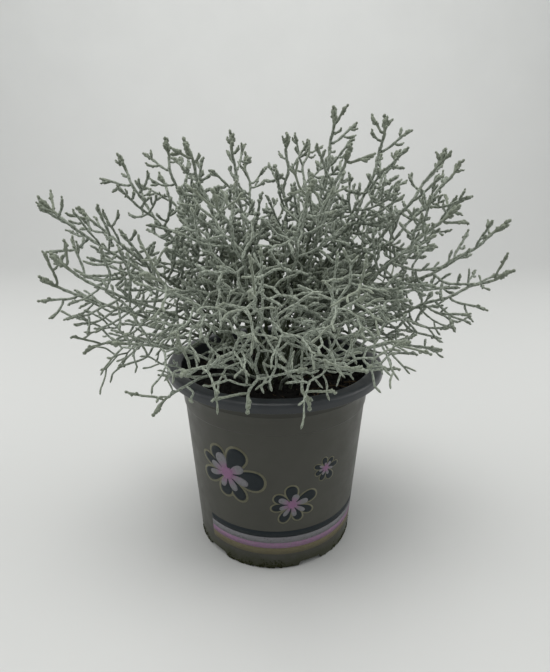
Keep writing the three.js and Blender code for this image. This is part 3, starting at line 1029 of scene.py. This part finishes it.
def notch_roof(angle_deg):
    """The web that closes the hollow foot ring over and beside one notch."""
    lean = math.asin((NOTCH_WIDTH / 2 + WALL) / FOOT_RADIUS)
    turns = np.linspace(-lean, lean, 9)
    inner = FOOT_RADIUS - FOOT_RING_WIDTH + WALL / 2
    bm = bmesh.new()
    rings = []
    for height in (0.35, NOTCH_HEIGHT + WALL - 0.06):
        spots = [turned_spot(inner, turn, height) for turn in turns]
        outer = wall_radius(height) - WALL / 2
        spots += [turned_spot(outer, turn, height) for turn in turns[::-1]]
        rings.append([bm.verts.new(spot) for spot in spots])
    capped_skin(bm, rings, PLAIN)
    return tool(bm, "roof", angle_deg)


def drain_cutter(angle_deg):
    """The air in one drain hole of the raised floor."""
    bm = bmesh.new()
    place = Matrix.Translation((DRAIN_CIRCLE * MM, 0, (NOTCH_HEIGHT + WALL / 2) * MM))
    bmesh.ops.create_cone(bm, cap_ends=True, segments=28, radius1=DRAIN_RADIUS * MM,
                          radius2=DRAIN_RADIUS * MM, depth=4 * WALL * MM, matrix=place)
    return tool(bm, "drain", angle_deg)


def foot_dirt_mesh():
    """Crumbs of dirt that stick to the feet, most of them along their lower edge."""
    rng = np.random.default_rng(SEED + 5)
    bm = bmesh.new()
    half_notch = math.degrees(NOTCH_WIDTH / 2 / FOOT_RADIUS) + 1.5
    for _ in range(DIRT_TRIES):
        angle = rng.uniform(0, 360)
        if min(abs((angle - notch + 180) % 360 - 180) for notch in NOTCH_DEGS) < half_notch:
            continue
        turn = math.radians(angle)
        clumped = noise.noise(Vector((math.cos(turn) * 9, math.sin(turn) * 9, 0.5)))
        if clumped < rng.uniform(-0.5, 0.45):
            continue
        size = rng.uniform(0.16, 0.46)
        height = size + abs(rng.normal(0, 1.5 + 1.6 * max(0, clumped)))
        squash = Vector(rng.uniform(0.7, 1.25, 3))
        place = Vector(turned_spot(wall_radius(height) - 0.1, turn, height))
        for vert in bmesh.ops.create_icosphere(bm, subdivisions=1, radius=size * MM)["verts"]:
            vert.co = vert.co * squash + place
            vert.co.z = max(vert.co.z, 0.05 * MM)
    return mesh_of(bm, "foot_dirt")


# Print on the pot


def wrap(across, height, azimuth_deg, proud):
    """A point of the print, laid on the pot's wall. Azimuth 0 is the front, + to the right."""
    radius = wall_radius(height)
    return turned_spot(radius + proud, math.radians(azimuth_deg - 90) + across / radius, height)


def patch(bm, outline, middle, flower, turn_deg, proud, part):
    """A thin closed patch of print: its outline round a middle, wrapped on the wall."""
    heart = bm.verts.layers.float["heart"]

    def lay(x, y, lift):
        vert = bm.verts.new(wrap(x, flower["height"] + y, flower["azimuth"] + turn_deg, lift))
        vert[heart] = math.hypot(x, y) / flower["heart"]
        return vert

    edges = []
    for lift in (proud, -INK_SINK):
        rings = [[lay(middle[0] + share * (x - middle[0]), middle[1] + share * (y - middle[1]), lift)
                  for x, y in outline] for share in (1.0, 0.72, 0.36)]
        rings.append([lay(*middle, lift)])
        skin(bm, rings if lift == proud else rings[::-1], part)
        edges.insert(0, rings[0])
    skin(bm, edges, part, smooth=False)


def petal_outline(reach, width, lean, grow, steps=28):
    """A petal: narrow where it leaves the middle and widest near its round end."""
    outline = []
    for s in range(steps):
        a = math.tau * s / steps
        along = 0.5 * (1 - math.cos(a))
        x = along * reach - grow * math.cos(a)
        y = 0.71 * width * math.sin(a) * along ** 0.75 + grow * math.sin(a)
        outline.append((x * math.cos(lean) - y * math.sin(lean),
                        x * math.sin(lean) + y * math.cos(lean)))
    return outline


def heart_outline(radius, petals=14):
    """The flower's middle, with a low wave for each of the small petals and between them."""
    outline = []
    for s in range(4 * petals):
        a = math.tau * s / (4 * petals)
        out = radius * (0.88 - 0.14 * (s % 4 - 1.5) ** 2 / 2.25)
        outline.append((out * math.cos(a), out * math.sin(a)))
    return outline


def add_flower(bm, flower, turn_deg):
    """The gold edge, the dark petals, the small petals and the heart, each on the last."""
    for kind, grow, proud, part in (("outer", flower["edge"], 0.03, GOLD),
                                    ("outer", 0.0, 0.05, NAVY), ("inner", 0.0, 0.07, PETAL)):
        for i, (right, up, width) in enumerate(flower[kind]):
            reach, lean = math.hypot(right, up), math.atan2(up, right)
            middle = (0.6 * reach * math.cos(lean), 0.6 * reach * math.sin(lean))
            patch(bm, petal_outline(reach, width, lean, grow), middle, flower, turn_deg,
                  proud + 0.002 * i, part)
    patch(bm, heart_outline(flower["heart"]), (0, 0), flower, turn_deg, 0.09, PETAL)


def add_flowers(bm):
    for turn_deg in (0, BACK_TURN_DEG):
        for flower in FLOWERS:
            add_flower(bm, flower, turn_deg)


def add_stripes(bm):
    """Thin closed bands round the wall, each with two cut ends."""
    steps = round(STRIPE_SWEEP_DEG / 1.5)
    azimuths = [STRIPE_START_DEG + STRIPE_SWEEP_DEG * s / steps for s in range(steps + 1)]
    for part, (top, bottom) in enumerate(zip(STRIPE_EDGES, STRIPE_EDGES[1:])):
        proud = 0.05 - 0.004 * part
        corners = ((top, proud), (bottom, proud), (bottom, -INK_SINK), (top, -INK_SINK))
        capped_skin(bm, [[bm.verts.new(wrap(0, height, azimuth, lift)) for height, lift in corners]
                         for azimuth in azimuths], part)


def print_mesh(name, add_ink):
    """The mesh of one kind of print, its points marked by how near a flower's heart they are."""
    bm = bmesh.new()
    bm.verts.layers.float.new("heart")
    add_ink(bm)
    bmesh.ops.recalc_face_normals(bm, faces=bm.faces)
    return mesh_of(bm, name)


# Soil


def soil_height(x, y):
    """Height of the peat: a broad wave with crumbs and fibres on it."""
    wave = math.sin(x / 7 + 1) * math.cos(y / 9) + 0.5 * math.sin((x + y) / 4)
    rough = noise.fractal(Vector((x * 0.35, y * 0.35, 3.1)), 0.8, 2.1, 5)
    return SOIL_TOP + 0.9 * (SOIL_WAVE * wave) + 0.75 * rough


def scattered(count, reach, rng):
    """Random places on the soil, out to a distance from the axis."""
    for _ in range(count):
        radius, turn = reach * math.sqrt(rng.random()), rng.uniform(0, math.tau)
        yield radius * math.cos(turn), radius * math.sin(turn)


def crumb(bm, x, y, size, rng):
    """One crumb of peat, pressed half into the surface."""
    made = bmesh.ops.create_icosphere(bm, subdivisions=1, radius=size * MM)
    squash = Vector(rng.uniform(0.6, 1.2, 3))
    turn = Matrix.Rotation(rng.uniform(0, 6.28), 3, Vector(rng.normal(size=3)).normalized())
    place = Vector((x, y, soil_height(x, y) + 0.1 * size)) * MM
    for vert in made["verts"]:
        rough = 1 + 0.25 * noise.noise(vert.co * (1.4 / (size * MM)) + Vector((x, y, 0)))
        vert.co = turn @ (vert.co * squash) * rough + place


def fibre(bm, x, y, length, thick, lift, rng, sides=5):
    """One dry fibre or fallen twiglet lying on the peat."""
    heading = rng.uniform(0, math.tau)
    curl = rng.uniform(-0.5, 0.5)
    steps = max(3, int(length / 1.6))
    rings = []
    for s in range(steps + 1):
        t = s / steps - 0.5
        a = heading + curl * t
        px, py = x + length * t * math.cos(a), y + length * t * math.sin(a)
        pz = soil_height(px, py) * 0.35 + soil_height(x, y) * 0.65 + lift + 0.6 * t * curl
        r = thick * (1 - 0.35 * abs(2 * t)) * rng.uniform(0.85, 1.15)
        rings.append([bm.verts.new(Vector((px - r * math.cos(b) * math.sin(a),
                                           py + r * math.cos(b) * math.cos(a),
                                           pz + r * math.sin(b))) * MM)
                      for b in (math.tau * k / sides for k in range(sides))])
    capped_skin(bm, rings, FIBRE_PART, smooth=False)


def soil_mesh():
    """The plug that fills the pot, with crumbs, fibres and fallen twiglets on its top."""
    rng = np.random.default_rng(SEED)
    rim = wall_radius(SOIL_TOP) - WALL - 0.05
    bm = bmesh.new()
    rings = [circle(bm, 1, 0, soil_height)]
    rings += [circle(bm, SOIL_SIDES, rim * i / SOIL_RINGS, soil_height)
              for i in range(1, SOIL_RINGS + 1)]
    for height in (LEDGE_HEIGHT + 0.6, LEDGE_HEIGHT, NOTCH_HEIGHT + WALL + SEAT_GAP):
        rings.append(circle(bm, SOIL_SIDES, wall_radius(height) - WALL - SEAT_GAP, height))
    skin(bm, rings)
    bm.faces.new(rings[-1][::-1]).smooth = True
    bmesh.ops.recalc_face_normals(bm, faces=bm.faces)
    for x, y in scattered(CRUMBS, rim - 1.2, rng):
        crumb(bm, x, y, rng.choice(CRUMB_SIZES, p=CRUMB_SHARES), rng)
    for x, y in scattered(FIBRES, rim - 7, rng):
        length, thick = rng.uniform(3, 8), rng.uniform(0.1, 0.2)
        fibre(bm, x, y, length, thick, 0.2, rng)
    for x, y, length in FALLEN:
        fibre(bm, x, y, length, rng.uniform(0.35, 0.5), 1.0, rng)
    return mesh_of(bm, "soil_plug")


# Finishes


class Finish:
    """A material's nodes, added in the order in which they are asked for."""

    def __init__(self, name):
        self.material = bpy.data.materials.new(name)
        self.material.use_nodes = True
        self.tree = self.material.node_tree
        self.tree.nodes.clear()
        self.shader = self.tree.nodes.new("ShaderNodeBsdfPrincipled")
        output = self.tree.nodes.new("ShaderNodeOutputMaterial")
        self.feed(output.inputs["Surface"], self.shader.outputs["BSDF"])
        self.place = self.node("TexCoord", "Object")

    def feed(self, socket, value):
        """Link another node's output to a socket, or set the socket to a value."""
        if hasattr(value, "is_output"):
            self.tree.links.new(value, socket)
        else:
            socket.default_value = (*value, 1) if socket.type == "RGBA" else value

    def node(self, kind, output, inputs=None, **settings):
        """Add a node with its settings and inputs, and give one of its outputs."""
        node = self.tree.nodes.new("ShaderNode" + kind)
        for key, value in settings.items():
            setattr(node, key, value)
        for key, value in (inputs or {}).items():
            self.feed(node.inputs[key], value)
        return node.outputs[output]

    def made_of(self, **inputs):
        """Set or link the shader's own inputs, and give the finished material."""
        for key, value in inputs.items():
            self.feed(self.shader.inputs[key.replace("_", " ")], value)
        return self.material

    def attribute(self, name):
        return self.node("Attribute", "Fac", attribute_name=name)

    def along(self, axis):
        """Where a point lies along one axis of the object."""
        return self.node("SeparateXYZ", axis, {"Vector": self.place})

    def grain(self, scale, detail, roughness=0.55):
        return self.node("TexNoise", "Fac", {"Vector": self.place, "Scale": scale,
                                             "Detail": detail, "Roughness": roughness})

    def dots(self, scale):
        return self.node("TexVoronoi", "Distance", {"Vector": self.place, "Scale": scale},
                         feature="F1")

    def ramp(self, source, colour, *stops):
        """Shades of a colour, each stop a place and how light it is there."""
        result = self.node("ValToRGB", "Color", {"Fac": source})
        elements = result.node.color_ramp.elements
        while len(elements) < len(stops):
            elements.new(0.5)
        for element, (at, factor) in zip(elements, stops):
            element.position = at
            element.color = (*shade(colour, factor), 1)
        return result

    def blend(self, share, first, second):
        return self.node("Mix", 2, {0: share, 6: first, 7: second}, data_type="RGBA")

    def span(self, source, low, high, to_low=0.0, to_high=1.0):
        """A value that goes from one number to another while its source goes from low to high."""
        return self.node("MapRange", "Result", {"Value": source, "From Min": low, "From Max": high,
                                                "To Min": to_low, "To Max": to_high})

    def maths(self, operation, first, second):
        return self.node("Math", 0, {0: first, 1: second}, operation=operation)

    def relief(self, source, strength, distance):
        return self.node("Bump", "Normal", {"Strength": strength, "Distance": distance,
                                            "Height": source})


def shade(colour, factor):
    return tuple(min(1, c * factor) for c in colour)


def felted_twig(look):
    """Woolly silver scale leaves, yellow-green at the tips and browner on old wood; painted shade
    darkens the creases between the scale leaves and the twigs deep in the bush, and a painted
    highlight pales the twigs at the front.
    """
    f = Finish("felted_twig")
    patches = f.ramp(f.grain(420, 3), look.silver, (0.3, 0.8), (0.72, 1.1))
    wool = f.grain(2600, 3, 0.7)
    felt = f.blend(f.span(wool, 0.42, 0.62), patches, shade(look.silver, 1.75))
    scale_tip = f.attribute("scale_tip")
    # Painted highlight: twigs at the front of the bush, toward -Y, are paled toward a lighter silver
    # as if lit from the front.
    front = f.span(f.along("Y"), -0.08, -0.025, 0.85, 0.0)
    felt = f.blend(front, felt, shade(look.silver, 1.8))
    # Painted shade: the colour turns toward the crease shade between the scale leaves, where the
    # scale tips are low.
    crease_shade = f.maths("ADD", scale_tip, f.span(wool, 0.3, 0.7, -0.3, 0.3))
    felt = f.blend(f.span(crease_shade, 0.05, 0.6, 0.92, 0.0), felt, look.crease_shade)
    # The age attribute is partly the wood's real age and partly painted shade deep in the bush; the
    # blend below turns both toward the old wood colour.
    age_and_shade = f.attribute("age_and_shade")
    tips = f.blend(f.span(age_and_shade, 0.0, 0.03, 0.55, 0.0), felt, look.young)
    age_and_shade_mottled = f.maths("ADD", age_and_shade, f.span(f.grain(260, 2), 0.2, 0.8, -0.16, 0.16))
    return f.made_of(Base_Color=f.blend(f.span(age_and_shade_mottled, 0.25, 0.75), tips, look.old_wood_and_shade),
                     Roughness=0.86, Specular_IOR_Level=0.25, Sheen_Weight=0.35,
                     Sheen_Roughness=0.4, Sheen_Tint=(0.84, 0.93, 0.86),
                     Normal=f.relief(wool, 0.5, 0.00012))


def moulded_plastic(name, colour, dirt_colour, gloss):
    """Plain moulded plastic: faint flow mottle, fine orange peel, dirt on the lowest part."""
    f = Finish(name)
    height = f.along("Z")
    mottle = f.ramp(f.grain(60, 5), colour, (0.3, 0.9), (0.75, 1.1))
    worn = f.blend(f.span(f.grain(900, 3), 0.62, 0.78, 0, 0.25), mottle, shade(colour, 1.6))
    dirt = f.maths("ADD", f.span(height, 0.001, 0.0095, 1.2, 0.15),
                   f.span(f.grain(300, 5, 0.7), 0.3, 0.72, -0.5, 0.45))
    low = f.maths("MULTIPLY", f.span(dirt, 0.2, 0.9), f.span(height, 0.0075, 0.0125, 1, 0))
    return f.made_of(Base_Color=f.blend(low, worn, dirt_colour),
                     Roughness=f.span(f.grain(140, 4), 0.3, 0.7, gloss - 0.05, gloss + 0.08),
                     Specular_IOR_Level=0.42, Normal=f.relief(f.grain(1500, 3), 0.12, 0.00008))


def printed_ink(name, colour, spots=None, heart=None):
    """Printing ink: a slight mottle, raster spots, and a heart of another colour."""
    f = Finish(name)
    ink = f.ramp(f.grain(700, 3), colour, (0.3, 0.88), (0.75, 1.1))
    if spots:
        ink = f.blend(f.span(f.dots(620), 0.16, 0.34, 0.6, 0.0), ink, spots)
    if heart:
        reach = f.maths("ADD", f.attribute("heart"), f.span(f.grain(1100, 3), 0.3, 0.7, -0.3, 0.3))
        ink = f.blend(f.span(reach, 0.55, 1.75, 1.0, 0.0), ink, heart)
    return f.made_of(Base_Color=ink, Roughness=f.span(f.grain(300, 2), 0.3, 0.7, 0.45, 0.55),
                     Specular_IOR_Level=0.3, Normal=f.relief(f.grain(1500, 3), 0.1, 0.00006))


def crumbly_dirt(look):
    f = Finish("foot_dirt")
    crumbs = f.ramp(f.grain(900, 5, 0.7), look.dirt, (0.35, 0.5), (0.75, 1.8))
    return f.made_of(Base_Color=crumbs, Roughness=0.95, Specular_IOR_Level=0.15,
                     Normal=f.relief(f.grain(2600, 5, 0.7), 0.6, 0.0002))


def damp_peat(look):
    f = Finish("damp_peat")
    clods = f.ramp(f.grain(350, 6, 0.7), look.peat, (0.35, 0.45), (0.6, 1), (0.82, 2.2))
    return f.made_of(Base_Color=clods, Roughness=f.span(f.grain(500, 3), 0.3, 0.7, 0.8, 1.0),
                     Specular_IOR_Level=0.2, Normal=f.relief(f.grain(1800, 6, 0.7), 0.8, 0.0004))


def dry_fibre(look):
    f = Finish("dry_fibre")
    streaks = f.ramp(f.grain(1400, 4), look.fibre, (0.3, 0.55), (0.7, 1.25))
    return f.made_of(Base_Color=streaks, Roughness=0.85, Specular_IOR_Level=0.2,
                     Normal=f.relief(f.grain(3000, 4), 0.5, 0.0002))


def matt_paper(look):
    """The pale seamless paper of the studio, with painted shade on its floor."""
    f = Finish("studio_paper")
    height = f.along("Z")
    sheet = f.ramp(f.grain(9, 3), look.paper, (0.3, 0.985), (0.7, 1.015))
    # Painted shade: the floor is darkened to 0.74 of the paper colour, fading out up the bend to the
    # backdrop.
    floor_shaded_paper = f.blend(f.span(height, 0.0, 0.5), shade(look.paper, 0.74), sheet)
    return f.made_of(Base_Color=floor_shaded_paper, Roughness=0.75, Specular_IOR_Level=0.25,
                     Normal=f.relief(f.grain(700, 2), 0.05, 0.0001))


# Choices in the sidebar


def colour_choice(name, description, default):
    return FloatVectorProperty(name=name, description=description, default=default,
                               subtype="COLOR", size=3, min=0, max=1)


class BushChoices(PropertyGroup):
    silver: colour_choice("Silver", "Colour of the felted twigs", (0.224, 0.249, 0.21))
    # Painted shade between the scale leaves
    crease_shade: colour_choice("Creases", "Colour between the scale leaves", (0.075, 0.085, 0.06))
    young: colour_choice("Young growth", "Colour of the newest tips", (0.17, 0.19, 0.138))
    # this colour is also the painted shade that darkens the twigs deep in the bush
    old_wood_and_shade: colour_choice("Old wood", "Colour of the stems near the soil", (0.046, 0.058, 0.028))


class PotChoices(PropertyGroup):
    wall: colour_choice("Wall", "Colour of the printed wall", (0.046, 0.046, 0.036))
    rim: colour_choice("Rim", "Colour of the bare plastic", (0.030, 0.034, 0.038))
    dirt: colour_choice("Dirt", "Colour of the dirt on the feet", (0.025, 0.028, 0.0095))
    gloss: FloatProperty(name="Roughness", description="Roughness of the plastic", default=0.42,
                         min=0, max=1, subtype="FACTOR")
    navy: colour_choice("Navy", "Ink of the outer petals", (0.005, 0.0105, 0.014))
    gold: colour_choice("Gold", "Ink of the flowers' edges", (0.142, 0.138, 0.09))
    lilac: colour_choice("Lilac", "Ink of the inner petals", (0.195, 0.193, 0.206))
    pink: colour_choice("Pink", "Ink of the flowers' hearts", (0.235, 0.115, 0.212))
    violet: colour_choice("Violet", "Ink of the thin stripe", (0.24, 0.142, 0.226))
    olive: colour_choice("Olive", "Ink of the lowest stripe", (0.128, 0.112, 0.063))


class SoilChoices(PropertyGroup):
    peat: colour_choice("Peat", "Colour of the damp peat", (0.007, 0.006, 0.005))
    fibre: colour_choice("Fibre", "Colour of the dry fibres", (0.09, 0.062, 0.035))


class StageChoices(PropertyGroup):
    paper: colour_choice("Paper", "Colour of the floor and backdrop", (0.757, 0.766, 0.757))
    light: FloatProperty(name="Light", description="Strength of the soft lights", default=1.0,
                         min=0, soft_max=4)
    camera_distance: FloatProperty(name="Camera distance", description="How far in front of "
                                   "the pot's axis the camera stands", default=0.23726,
                                   unit="LENGTH", min=0.05)
    camera_height: FloatProperty(name="Camera height", description="How high the camera stands",
                                 default=0.18956, unit="LENGTH", min=0)
    camera_dip: FloatProperty(name="Camera dip", description="How far the camera looks down",
                              default=math.radians(18.653), subtype="ANGLE")
    lens: FloatProperty(name="Focal length", description="Focal length of the camera",
                        default=26.22, unit="CAMERA", min=1)


# Operators


class BUSH_OT_pot(Operator):
    """Make the pot: a thin-walled moulding with a rolled rim, notched feet and drain holes"""
    bl_idname = "bush.pot"
    bl_label = "Pot"

    def execute(self, context):
        look = context.scene.bush_pot
        shell = turned_mesh("pot_shell", rounded(pot_profile(), CORNER_ROUNDING), POT_SIDES)
        piece = add_object("pot_shell", shell,
                           moulded_plastic("printed_wall", look.wall, look.dirt, look.gloss),
                           moulded_plastic("bare_plastic", look.rim, look.dirt, look.gloss - 0.06))
        combine(piece, [notch_roof(angle) for angle in NOTCH_DEGS], "UNION")
        cutters = [notch_cutter(angle) for angle in NOTCH_DEGS]
        cutters += [slit_cutter(angle + 180 / FEET) for angle in NOTCH_DEGS]
        cutters += [drain_cutter(NOTCH_DEGS[0] + 360 * i / DRAIN_HOLES) for i in range(DRAIN_HOLES)]
        combine(piece, cutters, "DIFFERENCE")
        for face in piece.data.polygons:
            face.use_smooth = True
        piece.data.set_sharp_from_angle(angle=math.radians(SHARP_DEG))
        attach(piece, BODY)
        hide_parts("pot")
        dirt = add_object("foot_dirt", foot_dirt_mesh(), crumbly_dirt(look))
        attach(dirt, BODY)
        return {"FINISHED"}


class BUSH_OT_print(Operator):
    """Print the flowers and the stripes on the pot's wall"""
    bl_idname = "bush.pot_print"
    bl_label = "Print on the pot"

    def execute(self, context):
        look = context.scene.bush_pot
        petal = shade(look.lilac, 0.9)
        flower_inks = [printed_ink("gold_ink", look.gold),
                       printed_ink("navy_ink", look.navy),
                       printed_ink("petal_ink", petal, shade(look.lilac, 0.65), look.pink)]
        stripe_inks = [printed_ink("navy_stripe", look.navy),
                       printed_ink("lilac_stripe", petal, shade(look.lilac, 0.45)),
                       printed_ink("violet_stripe", look.violet, look.lilac),
                       printed_ink("olive_stripe", look.olive)]
        for name, add_ink, inks in (("printed_flowers", add_flowers, flower_inks),
                                    ("printed_stripes", add_stripes, stripe_inks)):
            piece = add_object(name, print_mesh(name, add_ink), *inks)
            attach(piece, BODY)
        return {"FINISHED"}


class BUSH_OT_soil(Operator):
    """Make the plug of damp peat with its crumbs, fibres and fallen twiglets"""
    bl_idname = "bush.soil"
    bl_label = "Soil"

    def execute(self, context):
        look = context.scene.bush_soil
        piece = add_object("soil_plug", soil_mesh(), damp_peat(look), dry_fibre(look))
        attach(piece, BODY)
        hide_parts("soil")
        return {"FINISHED"}


class BUSH_OT_stems(Operator):
    """Grow the leafy stems, one piece for each, with all their twigs and buds"""
    bl_idname = "bush.stems"
    bl_label = "Leafy stems"

    def execute(self, context):
        finish = felted_twig(context.scene.bush_twigs)
        wood = Wood()
        for stem in grow_stems(wood):
            number = f"{stem['index'] + 1:02d}"
            name = f"leafy_stem_{number}"
            twigs = fine_stem(wood, stem)
            mesh = stem_mesh(name, twigs, np.random.default_rng(SEED + stem["index"]))
            piece = add_object(name, mesh, finish)
            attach(piece, BODY)
            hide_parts(f"stem_{number}")
        return {"FINISHED"}


class BUSH_OT_stage(Operator):
    """Set up the pale paper sweep, the soft lights and the camera"""
    bl_idname = "bush.stage"
    bl_label = "Stage"

    def execute(self, context):
        look = context.scene.bush_stage
        context.scene.view_settings.view_transform = "Standard"
        mesh = self.sweep()
        mesh.materials.append(matt_paper(look))
        add_object("paper_sweep", mesh)
        for name, (place, size, power) in LIGHTS.items():
            self.soft_light(name, place, size, power * look.light)
        context.scene.world = self.surround(look)
        context.scene.camera = self.camera(look)
        return {"FINISHED"}

    def sweep(self):
        """Floor and backdrop in one sheet with a wide bend between them"""
        bend, wall_at, top, wide, front = 0.5, 1.25, 2.2, 2.4, -1.6
        rows = [(front, 0.0), (-0.4, 0.0), (0.4, 0.0), (wall_at - bend, 0.0)]
        rows += [(wall_at - bend + bend * math.sin(a), bend - bend * math.cos(a))
                 for a in (math.pi / 2 * s / 16 for s in range(1, 17))]
        rows.append((wall_at, top))
        bm = bmesh.new()
        skin(bm, [[bm.verts.new((x, y, z)) for y, z in rows] for x in (wide, -wide)], closed=False)
        return mesh_of(bm, "paper_sweep")

    def soft_light(self, name, place, size, power):
        lamp = bpy.data.lights.new(name, "AREA")
        lamp.shape = "DISK"
        lamp.size = size
        lamp.energy = power
        lamp.color = (1.0, 0.99, 0.97)
        holder = add_object(name, lamp)
        holder.location = place
        aim = Vector((0, 0, 0.1)) - Vector(place)
        holder.rotation_euler = aim.to_track_quat("-Z", "Y").to_euler()

    def surround(self, look):
        world = bpy.data.worlds.new("soft_surround")
        world.use_nodes = True
        shine = world.node_tree.nodes["Background"]
        shine.inputs["Color"].default_value = (0.93, 0.95, 0.95, 1)
        shine.inputs["Strength"].default_value = 0.46 * look.light
        return world

    def camera(self, look):
        lens = bpy.data.cameras.new("camera")
        lens.lens = look.lens
        lens.sensor_width = 36
        lens.clip_start = 0.01
        holder = add_object("camera", lens)
        holder.location = (0, -look.camera_distance, look.camera_height)
        holder.rotation_euler = (math.pi / 2 - look.camera_dip, 0, 0)
        return holder


class BUSH_PT_panel(Panel):
    """The choices of each part, with the buttons that make it"""
    bl_idname = "BUSH_PT_panel"
    bl_label = "Cushion bush"
    bl_space_type = "VIEW_3D"
    bl_region_type = "UI"
    bl_category = "Cushion bush"

    def draw(self, context):
        for title, choices, operators in SECTIONS:
            box = self.layout.box()
            box.label(text=title)
            group = getattr(context.scene, choices)
            for key in group.__annotations__:
                box.prop(group, key)
            for operator in operators:
                box.operator(operator.bl_idname)


SECTIONS = [
    ("Pot", "bush_pot", [BUSH_OT_pot, BUSH_OT_print]),
    ("Soil", "bush_soil", [BUSH_OT_soil]),
    ("Bush", "bush_twigs", [BUSH_OT_stems]),
    ("Stage", "bush_stage", [BUSH_OT_stage]),
]
CHOICES = {"bush_pot": PotChoices, "bush_soil": SoilChoices, "bush_twigs": BushChoices,
           "bush_stage": StageChoices}
CLASSES = [*CHOICES.values(), *(operator for _, _, group in SECTIONS for operator in group),
           BUSH_PT_panel]


def register():
    for cls in CLASSES:
        bpy.utils.register_class(cls)
    for name, choices in CHOICES.items():
        setattr(bpy.types.Scene, name, PointerProperty(type=choices))


def unregister():
    for name in CHOICES:
        delattr(bpy.types.Scene, name)
    for cls in reversed(CLASSES):
        bpy.utils.unregister_class(cls)


def main():
    register()
    bpy.ops.bush.stage()
    bpy.ops.bush.pot()
    bpy.ops.bush.pot_print()
    bpy.ops.bush.soil()
    bpy.ops.bush.stems()


if __name__ == "__main__":
    main()
